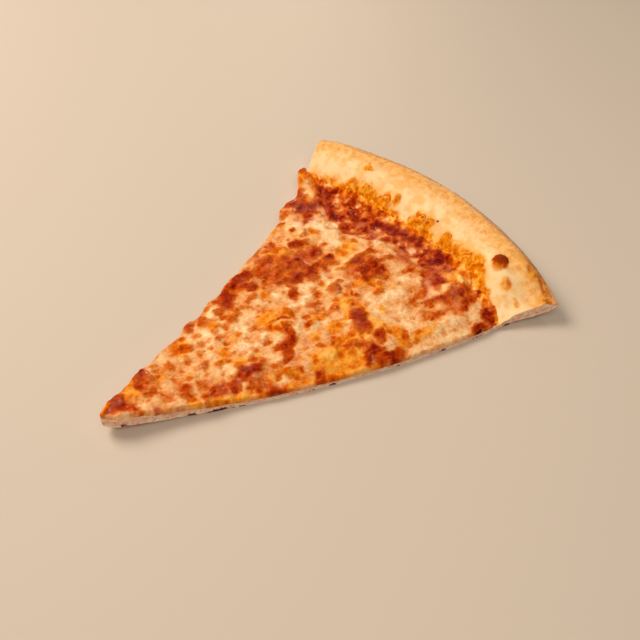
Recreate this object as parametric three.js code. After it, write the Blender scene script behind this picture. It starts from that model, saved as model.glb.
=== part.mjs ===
// One slice of a large thin-crust cheese pizza, cut as an eighth of the pie: a dough crust with its baked
// rim, a thin coat of tomato sauce, and the sheet of cheese that has melted over it.
//
// Millimetres, +Z up. The slice points along -X, its rim is at +X, and its flat belly lies on z = 0.
// The origin is the middle of the slice's box, at the bottom.
//
// Every sheet of the slice is worked out in pie terms: `radius` is the distance from the middle of the
// pie, and `across` runs from -1 on the front cut to +1 on the back cut.

import * as THREE from 'three';
import { mergeVertices } from 'three/addons/utils/BufferGeometryUtils.js';

// ---- Driving dimensions ----------------------------------------------------------------------------

const PIE_RADIUS = 229; // half of an 18-inch pie
const HALF_DEGREES = 22.5; // half of an eighth
const HALF_SLICE = THREE.MathUtils.degToRad(HALF_DEGREES);
const TIP_RADIUS = 2.2; // where the crossed cuts leave the tip
const NOSE_RADIUS = 9; // the tip is rounded off up to here

const TIP_LIFT = 5; // the tip curls up this far
const TIP_BEND = 65; // and starts to curl this far from the middle of the pie
const RIM_LIFT = 10; // the rim curls up too
const RIM_BEND = 172;

const DOUGH = 3.4; // thickness of the dough under the sauce
const TIP_DOUGH = 0.8; // extra thickness at the tip
const TIP_DOUGH_REACH = 40; // which is gone from this radius outwards
const SAUCE = 0.9;
const CHEESE = 1.7;
const GAP = 0.3; // between one layer and the next

const RIM_FOOT = 194; // where the dough starts to climb into the rim
const RIM_CREST = 213; // where the rim is highest
const RIM_FOOT_BACK = 5; // the foot lies this much further out at the back cut
const RIM_CREST_BACK = 3; // and the crest this much
const RIM_HEIGHT = 13.4; // height of the crest over the rim's own underside
const RIM_BACK_RISE = 0.6; // the crest is a little higher at the back cut
const RIM_CORNER = 1.6; // and its back corner stands up
const RIM_WAVE = 0.8; // how much the crest wanders up and down
const RIM_EQUATOR = 5.2; // height of the rim's outermost line over its underside
const RIM_EQUATOR_SHARE = 0.7; // or this share of the rim's height, where that is less
const RIM_PITCH = 26; // lumps of the rim: their spacing
const SOLE_ROUND = 12; // the underside rounds up to the outermost line over this width
const CORNER_FROM = 0.6; // the back corner begins this share of the way to the back cut

const CUTTER_WIDTH = 13; // the wheel cutter presses the slice down this far from each cut
const CUTTER_PRESS = 0.42; // share of the thickness that it takes away at the front cut
const RIM_END_WIDTH = 22; // it presses the front end of the rim over this width
const RIM_END_PRESS = 0.54;
const BACK_PRESS = 0.12; // the back cut is hardly pressed
const BODY_PRESS = [35, 75]; // the front cut is pressed from the first radius on, and fully from the second
const RIM_PRESS = [188, 209]; // the same for the front end of the rim

const LAYER_INSET = 0.5; // the cheese and sauce stop this far short of the dough at a cut
const SAUCE_EDGE = 199; // the sauce ends about here, on the rim's inner slope
const SAUCE_EDGE_WAVE = 0.6; // how far its edge wanders, in how many radians of wave, and where the wave starts
const SAUCE_EDGE_TURN = 7;
const SAUCE_EDGE_START = 1;
const SAUCE_FADE = 9; // it thins out over this width
const SAUCE_THIN = 0.4; // to this share of its thickness
const CHEESE_FADE = 5; // the same for the cheese
const CHEESE_THIN = 0.5;
const CHEESE_BRIDGE = 0.4; // at the back corner the cheese bridges the rim's foot, this much higher
const CHEESE_BRIDGE_FROM = 186; // and starts to at this radius

const RELIEF_PITCH = 15; // lumps of the melted cheese: their spacing and height
const RELIEF_HEIGHT = 0.45;
const RIM_SEED = 5; // which of the noises the lumps of the rim follow
const RELIEF_SEED = 2; // and those of the cheese

const CELL = 5.8; // size of one cell of the lattice over the body of the slice
const BODY_END = 165; // beyond here every row has the same number of cells
const OUTER_CELLS = 25;
const RIM_CELLS = 34; // and the rim has more
const PLAIN_END = 186; // the rows are evenly spaced up to here, and close up at the rim's foot
const NOSE_ROWS = [3.4, 5.6, 9, 14]; // radii of the close rows at the tip
const FOOT_ROWS = [189.6, 192.6, 195.2, 197.2]; // those at the rim's foot
const RIM_ROWS = [202.2, 205.4, 208.6, 211.8, 215, 218.5, 221.5, 224, 226, 227.6, 228.6, PIE_RADIUS];
const ROW_BEND_IN = [180, 192]; // the rows bend with the rim's foot from the first radius, fully from the second
const ROW_BEND_OUT = [203, 222]; // and straighten again
const MERGE = 1e-3; // points closer than this are one

// How far each cut wanders out from a straight line: [radius, distance outwards].
const FRONT_CUT = [[0, 1.2], [45, 3.7], [95, 6.5], [145, 5.0], [185, 0.4], [207, -2.6], [229, 0]];
const BACK_CUT = [[0, 1.8], [45, -1.4], [95, -7.0], [145, -7.2], [180, -5.4], [198, -0.8], [229, 0.4]];

// The uneven edge of the cheese, front cut to back cut: [degrees from the slice's middle, radius].
const CHEESE_EDGE = [
  [-22.5, 195], [-19, 196], [-15, 197], [-11, 197], [-7, 186], [-3, 185], [1, 184],
  [5, 183], [9, 178], [13, 176], [17, 184], [19.5, 198], [22.5, 202],
];

// Where melted cheese has run out past the back cut: [radius, distance outwards, half width].
const CHEESE_JUTS = [[33, 0.9, 5], [76, 0.9, 5], [172, 2.6, 5], [200, 4.2, 6]];

// Baked blisters and lumps of the cheese: [radius, degrees, half width, height].
const CHEESE_BLISTERS = [
  [14, 6, 7, 1.0], [34, 19, 6, 1.1], [74, -16, 8, 0.7], [100, -3, 8, 1.1], [124, 13, 12, 0.8],
  [134, -11, 7, 0.8], [133, -23, 9, 1.0], [158, -2, 9, 1.2], [184, -15, 6, 0.9], [195, -12.5, 4, 1.6],
  [201, 21.5, 6, 2.6], [172, 20.5, 6, 1.2],
];

// Blisters of the bare rim, in the same terms.
const RIM_BLISTERS = [
  [211, -14, 6, 1.9], [215, 12.5, 5, 0.9], [205, 6, 5, 1.0], [204, 0, 5, 0.9], [206, -17.5, 5, 0.7],
];

const CRUST_LOOK = { color: 0xf2c484, roughness: 0.8, metalness: 0 };
const SAUCE_LOOK = { color: 0x96260f, roughness: 0.4, metalness: 0 };
const CHEESE_LOOK = { color: 0xe3a062, roughness: 0.38, metalness: 0 };

// ---- Small functions -------------------------------------------------------------------------------

const { clamp, lerp, smoothstep } = THREE.MathUtils;

// A smooth value through [place, value] points: each stretch is a cubic whose slopes are those between
// the neighbouring points.
function through(points, place) {
  const last = points.length - 1;
  let i = 0;
  while (i < last - 1 && place > points[i + 1][0]) i++;
  const slopeAt = (k) => {
    const [a, b] = [points[Math.max(k - 1, 0)], points[Math.min(k + 1, last)]];
    return (b[1] - a[1]) / (b[0] - a[0]);
  };
  const [[x0, y0], [x1, y1]] = [points[i], points[i + 1]];
  const span = x1 - x0;
  const s = clamp((place - x0) / span, 0, 1);
  const fromStart = slopeAt(i) * span * s * (1 - s) ** 2;
  const fromEnd = -slopeAt(i + 1) * span * s * s * (1 - s);
  return lerp(y0, y1, s * s * (3 - 2 * s)) + fromStart + fromEnd;
}

// Smooth noise from -1 to 1: fixed values on a square lattice, blended between the corners.
function noise(x, y, seed) {
  const value = (i, j) => {
    const s = Math.sin(i * 127.1 + j * 311.7 + seed * 74.7) * 43758.5453;
    return 2 * (s - Math.floor(s)) - 1;
  };
  const [i, j] = [Math.floor(x), Math.floor(y)];
  const [u, v] = [smoothstep(x - i, 0, 1), smoothstep(y - j, 0, 1)];
  return lerp(lerp(value(i, j), value(i + 1, j), u), lerp(value(i, j + 1), value(i + 1, j + 1), u), v);
}

// A rounded bump: 1 in the middle, 0 from twice the half width outwards.
const bump = (distance, halfWidth) => 1 - smoothstep(distance, 0, 2 * halfWidth);

// The summed height of a list of bumps at a place on the slice.
function bumps(list, x, y) {
  return list.reduce((height, [radius, degrees, halfWidth, rise]) => {
    const angle = THREE.MathUtils.degToRad(degrees);
    const away = Math.hypot(x - radius * Math.cos(angle), y - radius * Math.sin(angle));
    return height + rise * bump(away, halfWidth);
  }, 0);
}

// ---- The slice's form ------------------------------------------------------------------------------

// Half the slice's width at a radius, and how far its middle line is off the x axis.
function girth(radius) {
  const [front, back] = [through(FRONT_CUT, radius), through(BACK_CUT, radius)];
  const nose = clamp((NOSE_RADIUS - radius) / (NOSE_RADIUS - TIP_RADIUS), 0, 1);
  const half = (radius * Math.sin(HALF_SLICE) + (front + back) / 2) * Math.sqrt(1 - nose * nose);
  return { half, middle: (back - front) / 2 };
}

// Plan position of a point; `inset` moves the cuts inwards, `jut` moves the back cut out.
function plan(radius, across, inset = 0, jut = 0) {
  const { half, middle } = girth(radius);
  const out = Math.max(half - inset, 0) + jut * Math.max(across, 0) ** 4;
  const arc = across * Math.sin(HALF_SLICE);
  return { x: radius * Math.sqrt(1 - arc * arc), y: middle + across * out };
}

// Height of the underside: flat in the middle, curled up at the tip and at the rim.
function belly(x) {
  const tip = clamp((TIP_BEND - x) / TIP_BEND, 0, 1);
  const rim = clamp((x - RIM_BEND) / (PIE_RADIUS - RIM_BEND), 0, 1);
  return TIP_LIFT * tip ** 2 + RIM_LIFT * rim ** 2;
}

// Share of the thickness that the wheel cutter leaves.
function pressed(radius, across) {
  const { half } = girth(radius);
  const near = (side, width) => 1 - smoothstep(half * (1 - side * across), 0, width);
  const rimEnd = smoothstep(radius, ...RIM_PRESS);
  const body = smoothstep(radius, ...BODY_PRESS) * (1 - rimEnd);
  const front = CUTTER_PRESS * body * near(-1, CUTTER_WIDTH) + RIM_END_PRESS * rimEnd * near(-1, RIM_END_WIDTH);
  return (1 - front) * (1 - BACK_PRESS * near(1, CUTTER_WIDTH));
}

// 0 over most of the slice, rising to 1 at the back cut.
const corner = (across) => smoothstep(across, CORNER_FROM, 1);

// Height of the dough's upper side over the underside.
function doughHeight(radius, across, x, y) {
  const crestRadius = RIM_CREST + RIM_CREST_BACK * corner(across);
  const climb = smoothstep(radius, RIM_FOOT + RIM_FOOT_BACK * corner(across), crestRadius);
  const wave = RIM_WAVE * noise(x / RIM_PITCH, y / RIM_PITCH, RIM_SEED);
  const crest = RIM_HEIGHT + RIM_BACK_RISE * across + RIM_CORNER * corner(across) + wave;
  const flat = DOUGH + TIP_DOUGH * (1 - smoothstep(radius, 0, TIP_DOUGH_REACH));
  const top = lerp(flat, crest, climb) * pressed(radius, across) + bumps(RIM_BLISTERS, x, y);
  const over = clamp((radius - crestRadius) / (PIE_RADIUS - crestRadius), 0, 1);
  return lerp(Math.min(RIM_EQUATOR, top * RIM_EQUATOR_SHARE), top, Math.sqrt(1 - over * over));
}

// Height of the dough's underside over the belly line: it rounds up to the rim's outermost line.
function soleHeight(radius, across, x, y) {
  const under = clamp((radius - (PIE_RADIUS - SOLE_ROUND)) / SOLE_ROUND, 0, 1);
  return doughHeight(PIE_RADIUS, across, x, y) * (1 - Math.sqrt(1 - under * under));
}

function sauceEdge(across) {
  const wave = SAUCE_EDGE_WAVE * Math.sin(SAUCE_EDGE_TURN * across + SAUCE_EDGE_START);
  return SAUCE_EDGE + wave + RIM_FOOT_BACK * corner(across);
}

const sauceHeight = (radius, across) =>
  SAUCE * pressed(radius, across) * lerp(SAUCE_THIN, 1, smoothstep(sauceEdge(across) - radius, 0, SAUCE_FADE));

const cheeseEdge = (across) => through(CHEESE_EDGE, HALF_DEGREES * across);

function cheeseHeight(radius, across, x, y) {
  const fade = lerp(CHEESE_THIN, 1, smoothstep(cheeseEdge(across) - radius, 0, CHEESE_FADE));
  const relief = RELIEF_HEIGHT * noise(x / RELIEF_PITCH, y / RELIEF_PITCH, RELIEF_SEED);
  return (CHEESE + relief) * fade * pressed(radius, across) + bumps(CHEESE_BLISTERS, x, y) * fade;
}

// ---- Lattices and solids ---------------------------------------------------------------------------

// Radii from `from` to `to` in equal steps of about `step`, without the first.
function steps(from, to, step) {
  const count = Math.round((to - from) / step);
  return Array.from({ length: count }, (_, i) => lerp(from, to, (i + 1) / count));
}

// One row of lattice points across the slice. Near the rim's foot the rows bend outwards towards the back
// cut, as the foot does. No point lies beyond `edge`, so an outer row follows the uneven edge of a layer.
function row(nominal, cells, edge = () => PIE_RADIUS) {
  const bend = RIM_FOOT_BACK * smoothstep(nominal, ...ROW_BEND_IN) * (1 - smoothstep(nominal, ...ROW_BEND_OUT));
  return Array.from({ length: cells + 1 }, (_, k) => {
    const across = cells ? (2 * k) / cells - 1 : 0;
    return { across, radius: Math.min(nominal + bend * corner(across), edge(across)) };
  });
}

// Triangles between two neighbouring rows of vertex numbers, facing up: whichever row is behind moves on.
function stitch(inner, outer) {
  const faces = [];
  let [i, j] = [0, 0];
  while (i < inner.length - 1 || j < outer.length - 1) {
    const innerNext = (i + 0.5) / Math.max(inner.length - 1, 0.5);
    const outerNext = (j + 0.5) / (outer.length - 1);
    if (i < inner.length - 1 && innerNext < outerNext) faces.push([inner[i], outer[j], inner[++i]]);
    else faces.push([inner[i], outer[j], outer[++j]]);
  }
  return faces;
}

// A closed solid between an upper and a lower sheet that share one lattice.
function slab(rows, upper, lower) {
  const points = [];
  const number = (sheet) => rows.map((line) => line.map((spot) => points.push(sheet(spot)) - 1));
  const [top, bottom] = [number(upper), number(lower)];
  const faces = [];
  for (let i = 0; i < rows.length - 1; i++) {
    faces.push(...stitch(top[i], top[i + 1]));
    faces.push(...stitch(bottom[i], bottom[i + 1]).map(([a, b, c]) => [a, c, b]));
  }
  const rimOf = (sheet) => [
    ...sheet.map((line) => line[0]),
    ...sheet.at(-1).slice(1, -1),
    ...sheet.map((line) => line.at(-1)).reverse(),
    ...sheet[0].slice(1, -1).reverse(),
  ];
  const [high, low] = [rimOf(top), rimOf(bottom)];
  high.forEach((_, k) => {
    const next = (k + 1) % high.length;
    faces.push([low[k], low[next], high[next]], [low[k], high[next], high[k]]);
  });
  return closedGeometry(points, faces);
}

// One geometry with its coincident points merged and the faces that this empties left out.
function closedGeometry(points, faces) {
  const raw = new THREE.BufferGeometry().setFromPoints(points);
  raw.setIndex(faces.flat());
  const merged = mergeVertices(raw, MERGE);
  const index = merged.index.array;
  const kept = [];
  for (let i = 0; i < index.length; i += 3) {
    const [a, b, c] = index.slice(i, i + 3);
    if (a !== b && b !== c && c !== a) kept.push(a, b, c);
  }
  merged.setIndex(kept);
  merged.computeVertexNormals();
  return merged;
}

// ---- The three layers ------------------------------------------------------------------------------

const bodyCells = (radius) => (radius > TIP_RADIUS ? Math.max(2, Math.round((2 * girth(radius).half) / CELL)) : 0);
const bodyRadii = [TIP_RADIUS, ...NOSE_ROWS, ...steps(NOSE_ROWS.at(-1), BODY_END, CELL)];
const outerRadii = [...steps(BODY_END, PLAIN_END, CELL), ...FOOT_ROWS];

// The rows that all three layers share, each cut short at a layer's edge.
const sharedRows = (edge) => [
  ...bodyRadii.map((radius) => row(radius, bodyCells(radius), edge)),
  ...outerRadii.map((radius) => row(radius, OUTER_CELLS, edge)),
];

function crust() {
  const rows = [...sharedRows(), row(SAUCE_EDGE, OUTER_CELLS), ...RIM_ROWS.map((radius) => row(radius, RIM_CELLS))];
  const sheet = (height) => ({ radius, across }) => {
    const { x, y } = plan(radius, across);
    return new THREE.Vector3(x, y, belly(x) + height(radius, across, x, y));
  };
  return slab(rows, sheet(doughHeight), sheet(soleHeight));
}

function sauce() {
  const rows = [...sharedRows(), row(SAUCE_EDGE + RIM_FOOT_BACK, OUTER_CELLS, sauceEdge)];
  const sheet = (height) => ({ radius, across }) => {
    const { x, y } = plan(radius, across, LAYER_INSET);
    const base = belly(x) + doughHeight(radius, across, x, y) + GAP;
    return new THREE.Vector3(x, y, base + height(radius, across));
  };
  return slab(rows, sheet(sauceHeight), sheet(() => 0));
}

function cheese() {
  const rows = [...sharedRows(cheeseEdge), row(SAUCE_EDGE, OUTER_CELLS, cheeseEdge)];
  const jut = (radius) =>
    CHEESE_JUTS.reduce((sum, [at, out, width]) => sum + out * bump(Math.abs(radius - at), width), 0);
  const sheet = (height) => ({ radius, across }) => {
    const { x, y } = plan(radius, across, LAYER_INSET, jut(radius));
    const bridge = CHEESE_BRIDGE * corner(across) * smoothstep(radius, CHEESE_BRIDGE_FROM, RIM_FOOT);
    const base = belly(x) + doughHeight(radius, across, x, y) + sauceHeight(radius, across) + 2 * GAP + bridge;
    return new THREE.Vector3(x, y, base + height(radius, across, x, y));
  };
  return slab(rows, sheet(cheeseHeight), sheet(() => 0));
}

function layer(name, geometry, look) {
  const mesh = new THREE.Mesh(geometry, new THREE.MeshStandardMaterial(look));
  mesh.name = name;
  return mesh;
}

const slice = new THREE.Group();
slice.add(layer('crust', crust(), CRUST_LOOK));
slice.add(layer('sauce', sauce(), SAUCE_LOOK));
slice.add(layer('cheese', cheese(), CHEESE_LOOK));

const box = new THREE.Box3().setFromObject(slice, true);
const middle = box.getCenter(new THREE.Vector3());
slice.position.set(-middle.x, -middle.y, -box.min.z);

export default slice;
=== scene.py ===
"""Dresses a cheese pizza slice: the layers' fine surfaces, their finishes, the floor, lights and camera."""

import logging
import math
from collections.abc import Sequence
from dataclasses import dataclass, field, replace
from enum import Enum

import bpy
import numpy as np
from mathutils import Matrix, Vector


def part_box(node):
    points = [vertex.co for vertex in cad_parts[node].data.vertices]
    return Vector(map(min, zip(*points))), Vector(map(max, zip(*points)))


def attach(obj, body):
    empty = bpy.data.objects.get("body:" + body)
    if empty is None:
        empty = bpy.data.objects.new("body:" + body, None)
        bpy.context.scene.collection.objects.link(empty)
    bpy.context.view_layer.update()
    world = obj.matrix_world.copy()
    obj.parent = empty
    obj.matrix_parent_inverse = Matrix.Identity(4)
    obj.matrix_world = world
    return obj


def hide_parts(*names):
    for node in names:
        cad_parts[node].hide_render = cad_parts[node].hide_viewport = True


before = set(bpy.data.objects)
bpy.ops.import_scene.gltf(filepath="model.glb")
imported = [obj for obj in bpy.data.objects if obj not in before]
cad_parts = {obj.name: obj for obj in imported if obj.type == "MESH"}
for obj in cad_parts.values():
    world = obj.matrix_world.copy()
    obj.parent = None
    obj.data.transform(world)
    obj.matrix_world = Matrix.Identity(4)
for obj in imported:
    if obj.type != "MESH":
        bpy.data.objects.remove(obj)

log = logging.getLogger("pizza_slice")
Array = np.ndarray
Rows = tuple[tuple[float, ...], ...]
Span = tuple[float, float]
MM = 0.001


# ---------------------------------------------------------------------------------------------------
# Plain curves and seeded noise


def smoothstep(value: Array, low: float, high: float) -> Array:
    """Smooth climb from 0 at low to 1 at high: t squared times three less two t."""
    share = np.clip((value - low) / (high - low), 0.0, 1.0)
    return share * share * (3.0 - 2.0 * share)


def lerp(low: Array, high: Array, share: Array) -> Array:
    """Straight blend from low to high."""
    return low + (high - low) * share


def through(points: Sequence[tuple[float, float]], place: Array) -> Array:
    """Smooth curve through given points: a cubic between each two, whose slopes come from the neighbours.

    Args:
        points: (place, value) pairs, in order of place.
        place: where the curve is read.

    Returns:
        The curve's values.
    """
    places, values = np.array(points, float).T
    before = np.maximum(np.arange(len(places)) - 1, 0)
    after = np.minimum(np.arange(len(places)) + 1, len(places) - 1)
    slope = (values[after] - values[before]) / (places[after] - places[before])
    k = np.clip(np.searchsorted(places, place, side="right") - 1, 0, len(places) - 2)
    span = places[k + 1] - places[k]
    s = np.clip((place - places[k]) / span, 0.0, 1.0)
    straight = lerp(values[k], values[k + 1], s * s * (3.0 - 2.0 * s))
    return straight + slope[k] * span * s * (1.0 - s) ** 2 - slope[k + 1] * span * s * s * (1.0 - s)


def hashed(i: Array, j: Array, seed: float) -> Array:
    """A repeatable random value from -1 to 1 for each whole-number square: the fraction of a large sine."""
    wave = np.sin(i * 127.1 + j * 311.7 + seed * 74.7) * 43758.5453
    return 2.0 * (wave - np.floor(wave)) - 1.0


def noise(x: Array, y: Array, seed: float) -> Array:
    """Smooth noise from -1 to 1: a value at each whole-number corner, blended between the four nearest.

    Args:
        x: places the first way.
        y: places the second way.
        seed: which noise it is.

    Returns:
        The noise.
    """
    i, j = np.floor(x), np.floor(y)
    u, v = smoothstep(x - i, 0.0, 1.0), smoothstep(y - j, 0.0, 1.0)
    near = lerp(hashed(i, j, seed), hashed(i + 1, j, seed), u)
    far = lerp(hashed(i, j + 1, seed), hashed(i + 1, j + 1, seed), u)
    return lerp(near, far, v)


@dataclass(frozen=True)
class Cloud:
    """Sum of noises, each turned and about half as wide as the last, with values mostly from -0.7 to 0.7.

    The pitch is the broadest noise's width in millimetres, the seed says which noise it is, and keep is
    each noise's weight as a share of the one before.
    """

    pitch: float
    seed: float
    octaves: int = 4
    keep: float = 0.55
    first_turn: float = 0.7
    turn_step: float = 1.3
    seed_step: float = 3.7
    shrink: float = 0.52

    def __call__(self, x: Array, y: Array) -> Array:
        """The noise at places along and across the slice, in millimetres.

        Args:
            x: places along the slice.
            y: places across the slice.

        Returns:
            The noise.
        """
        total, weight, weights, pitch = np.zeros_like(x), 1.0, 0.0, self.pitch
        for k in range(self.octaves):
            turn = self.first_turn + self.turn_step * k + self.seed
            cos, sin, seed = math.cos(turn), math.sin(turn), self.seed + self.seed_step * k
            total += weight * noise((x * cos - y * sin) / pitch, (x * sin + y * cos) / pitch, seed)
            weights += weight
            weight *= self.keep
            pitch *= self.shrink
        return total / weights


@dataclass(frozen=True)
class Scatter:
    """Scattered centres, one to each square of the pitch, which is in millimetres."""

    pitch: float
    seed: float
    stray: float = 0.42

    def __call__(self, x: Array, y: Array, seed: float = 0.0) -> Array:
        """Distances to the nearest centre, as shares of the pitch.

        Args:
            x: places along the slice.
            y: places across the slice.
            seed: a number added to the seed, which scatters the centres anew.

        Returns:
            The distances.
        """
        seed += self.seed
        gx, gy = x / self.pitch, y / self.pitch
        i, j = np.floor(gx), np.floor(gy)
        nearest = np.full_like(gx, np.inf)
        for di in (-1.0, 0.0, 1.0):
            for dj in (-1.0, 0.0, 1.0):
                a, b = i + di, j + dj
                cx = a + 0.5 + self.stray * hashed(a, b, seed)
                cy = b + 0.5 + self.stray * hashed(a, b, seed + 1.0)
                nearest = np.minimum(nearest, np.hypot(gx - cx, gy - cy))
        return nearest


# ---------------------------------------------------------------------------------------------------
# The slice's form, in millimetres from the pie's centre: x along the slice to the rim, y to the back cut


@dataclass(frozen=True)
class SliceForm:
    """Sizes of the slice in millimetres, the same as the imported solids', and the surfaces they give."""

    pie_radius: float = 229.0
    half_angle: float = math.radians(22.5)
    tip_radius: float = 2.2
    nose_radius: float = 9.0
    nose_draw: float = 1.0
    tip_lift: float = 5.0
    tip_bend: float = 65.0
    rim_lift: float = 10.0
    rim_bend: float = 172.0
    dough: float = 3.4
    tip_dough: float = 0.8
    tip_dough_reach: float = 40.0
    sauce: float = 0.9
    cheese: float = 1.7
    gap: float = 0.3
    corner_from: float = 0.6
    rim_foot: float = 194.0
    rim_crest: float = 213.0
    rim_foot_back: float = 5.0
    rim_crest_back: float = 3.0
    rim_height: float = 13.4
    rim_back_rise: float = 0.6
    rim_corner: float = 1.6
    rim_wave: float = 0.8
    rim_wave_pitch: float = 26.0
    rim_wave_seed: float = 5.0
    rim_equator: float = 5.2
    rim_equator_share: float = 0.7
    rim_fullness: float = 2.6
    sole_round: float = 12.0
    cutter_width: float = 13.0
    cutter_press: float = 0.42
    cutter_span: Span = (35.0, 75.0)
    rim_end_before: Span = (6.0, 4.0)
    rim_end_width: float = 22.0
    rim_end_press: float = 0.54
    back_press: float = 0.12
    sauce_edge: float = 199.0
    sauce_edge_wave: float = 0.6
    sauce_edge_turns: Span = (7.0, 1.0)
    sauce_fade: float = 9.0
    sauce_thin: float = 0.4
    cheese_fade: float = 5.0
    cheese_thin: float = 0.5
    lump_pitch: float = 15.0
    lump_seed: float = 2.0
    lump_height: float = 0.9
    lump_share: float = 0.5
    outline_steps: int = 4000
    front_cut: Rows = ((0, 1.2), (45, 3.7), (95, 6.5), (145, 5.0), (185, 0.4), (207, -2.6), (229, 0))
    back_cut: Rows = ((0, 1.8), (45, -1.4), (95, -7.0), (145, -7.2), (180, -5.4), (198, -0.8), (229, 0.4))
    cheese_edges: Rows = ((-22.5, 195), (-19, 196), (-15, 197), (-11, 197), (-7, 186), (-3, 185), (1, 184),
                          (5, 183), (9, 178), (13, 176), (17, 184), (19.5, 198), (22.5, 202))
    cheese_juts: Rows = ((33, 0.9, 5), (76, 0.9, 5), (172, 2.6, 5), (200, 4.2, 6))
    cheese_blisters: Rows = ((14, 6, 7, 1.0), (34, 19, 6, 1.1), (74, -16, 8, 0.7), (100, -3, 8, 1.1),
                             (124, 13, 12, 0.8), (134, -11, 7, 0.8), (133, -23, 9, 1.0), (158, -2, 9, 1.2),
                             (184, -15, 6, 0.9), (195, -12.5, 4, 1.6), (201, 21.5, 6, 2.6),
                             (172, 20.5, 6, 1.2))
    rim_blisters: Rows = ((211, -14, 6, 1.9), (215, 12.5, 5, 0.9), (205, 6, 5, 1.0), (204, 0, 5, 0.9),
                          (206, -17.5, 5, 0.7))

    def half_girth(self, radius: Array) -> tuple[Array, Array]:
        """Half the width at a radius and the middle's place: the wedge with bowed cuts and a round nose.

        Args:
            radius: distances from the pie's centre.

        Returns:
            Half widths, and the middle's distances from the axis.
        """
        front, back = through(self.front_cut, radius), through(self.back_cut, radius)
        nose = np.clip((self.nose_radius - radius) / (self.nose_radius - self.tip_radius), 0.0, 1.0)
        half = (radius * math.sin(self.half_angle) + (front + back) / 2) * np.sqrt(1.0 - nose * nose)
        return half, (back - front) / 2

    def jut(self, radius: Array) -> Array:
        """How far the cheese has run out past the back cut: a smooth bump at each place in the list."""
        return sum(out * self.bump(np.abs(radius - at), width) for at, out, width in self.cheese_juts)

    def plan(self, radius: Array, across: Array, inset: float = 0.0,
             jut: Array | float = 0.0) -> tuple[Array, Array]:
        """Place on the table of a point at a radius and a share across: on the arc of that radius.

        Args:
            radius: distances from the pie's centre.
            across: shares from -1 at the front cut to 1 at the back cut.
            inset: how far inside the cuts a layer stays.
            jut: how far it runs out past the back cut.

        Returns:
            x and y.
        """
        half, middle = self.half_girth(radius)
        out = np.maximum(half - inset, 0.0) + jut * np.maximum(across, 0.0) ** 4
        arc = across * math.sin(self.half_angle)
        drawn = self.nose_draw * (1.0 - smoothstep(radius, self.tip_radius, self.nose_radius))
        return radius * np.sqrt(1.0 - arc * arc) + drawn, middle + across * out

    def to_cut(self, radius: Array, across: Array, side: float = 0.0) -> Array:
        """Distance to the front cut for side -1, to the back cut for 1, and to the nearer one for 0."""
        half, _ = self.half_girth(radius)
        return half * (1.0 - (side * across if side else np.abs(across)))

    @staticmethod
    def bump(distance: Array, half_width: float) -> Array:
        """Round bump: 1 in its middle, 0 from two half widths away."""
        return 1.0 - smoothstep(distance, 0.0, 2.0 * half_width)

    def bumps(self, places: Rows, x: Array, y: Array) -> Array:
        """Sum of round bumps, each given by its radius, its angle in degrees, its half width and height.

        Args:
            places: each bump's radius, angle in degrees, half width and height.
            x: places along the slice.
            y: places across the slice.

        Returns:
            Heights.
        """
        total = np.zeros_like(x)
        for radius, degrees, half_width, rise in places:
            angle = math.radians(degrees)
            distance = np.hypot(x - radius * math.cos(angle), y - radius * math.sin(angle))
            total += rise * self.bump(distance, half_width)
        return total

    def belly(self, x: Array) -> Array:
        """Height of the sole's line: tip and rim curl up as squares of the distance past their bends.

        Args:
            x: places along the slice.

        Returns:
            Heights.
        """
        tip = np.clip((self.tip_bend - x) / self.tip_bend, 0.0, 1.0)
        rim = np.clip((x - self.rim_bend) / (self.pie_radius - self.rim_bend), 0.0, 1.0)
        return self.tip_lift * tip**2 + self.rim_lift * rim**2

    def pressed(self, radius: Array, across: Array) -> Array:
        """Share of the thickness left where the wheel cutter pressed the food down beside the cuts.

        Args:
            radius: distances from the pie's centre.
            across: shares from -1 at the front cut to 1 at the back cut.

        Returns:
            Shares from 0 to 1.
        """
        before_foot, before_crest = self.rim_end_before
        rim_end = smoothstep(radius, self.rim_foot - before_foot, self.rim_crest - before_crest)
        body = smoothstep(radius, *self.cutter_span) * (1.0 - rim_end)
        to_front, to_back = self.to_cut(radius, across, -1.0), self.to_cut(radius, across, 1.0)
        front = self.cutter_press * body * (1.0 - smoothstep(to_front, 0.0, self.cutter_width))
        front = front + self.rim_end_press * rim_end * (1.0 - smoothstep(to_front, 0.0, self.rim_end_width))
        back = self.back_press * (1.0 - smoothstep(to_back, 0.0, self.cutter_width))
        return (1.0 - front) * (1.0 - back)

    def corner(self, across: Array) -> Array:
        """How near a point is to the back corner."""
        return smoothstep(across, self.corner_from, 1.0)

    def dough_height(self, radius: Array, across: Array, x: Array, y: Array) -> Array:
        """Height of the dough above the belly line: a flat sheet, a smooth climb and a round outside.

        Args:
            radius: distances from the pie's centre.
            across: shares across.
            x: places along the slice.
            y: places across the slice.

        Returns:
            Heights.
        """
        corner = self.corner(across)
        foot, crest_radius = self.rim_foot_back * corner, self.rim_crest + self.rim_crest_back * corner
        climb = smoothstep((radius - self.rim_foot - foot) / (crest_radius - self.rim_foot - foot), 0.0, 1.0)
        wave = noise(x / self.rim_wave_pitch, y / self.rim_wave_pitch, self.rim_wave_seed)
        crest = self.rim_height + self.rim_back_rise * across + self.rim_corner * corner
        crest = crest + self.rim_wave * wave
        flat = self.dough + self.tip_dough * (1.0 - smoothstep(radius, 0.0, self.tip_dough_reach))
        top = lerp(flat, crest, climb) * self.pressed(radius, across) + self.bumps(self.rim_blisters, x, y)
        over = np.clip((radius - crest_radius) / (self.pie_radius - crest_radius), 0.0, 1.0)
        full = (1.0 - over**self.rim_fullness) ** (1.0 / self.rim_fullness)
        return lerp(np.minimum(self.rim_equator, top * self.rim_equator_share), top, full)

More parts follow.
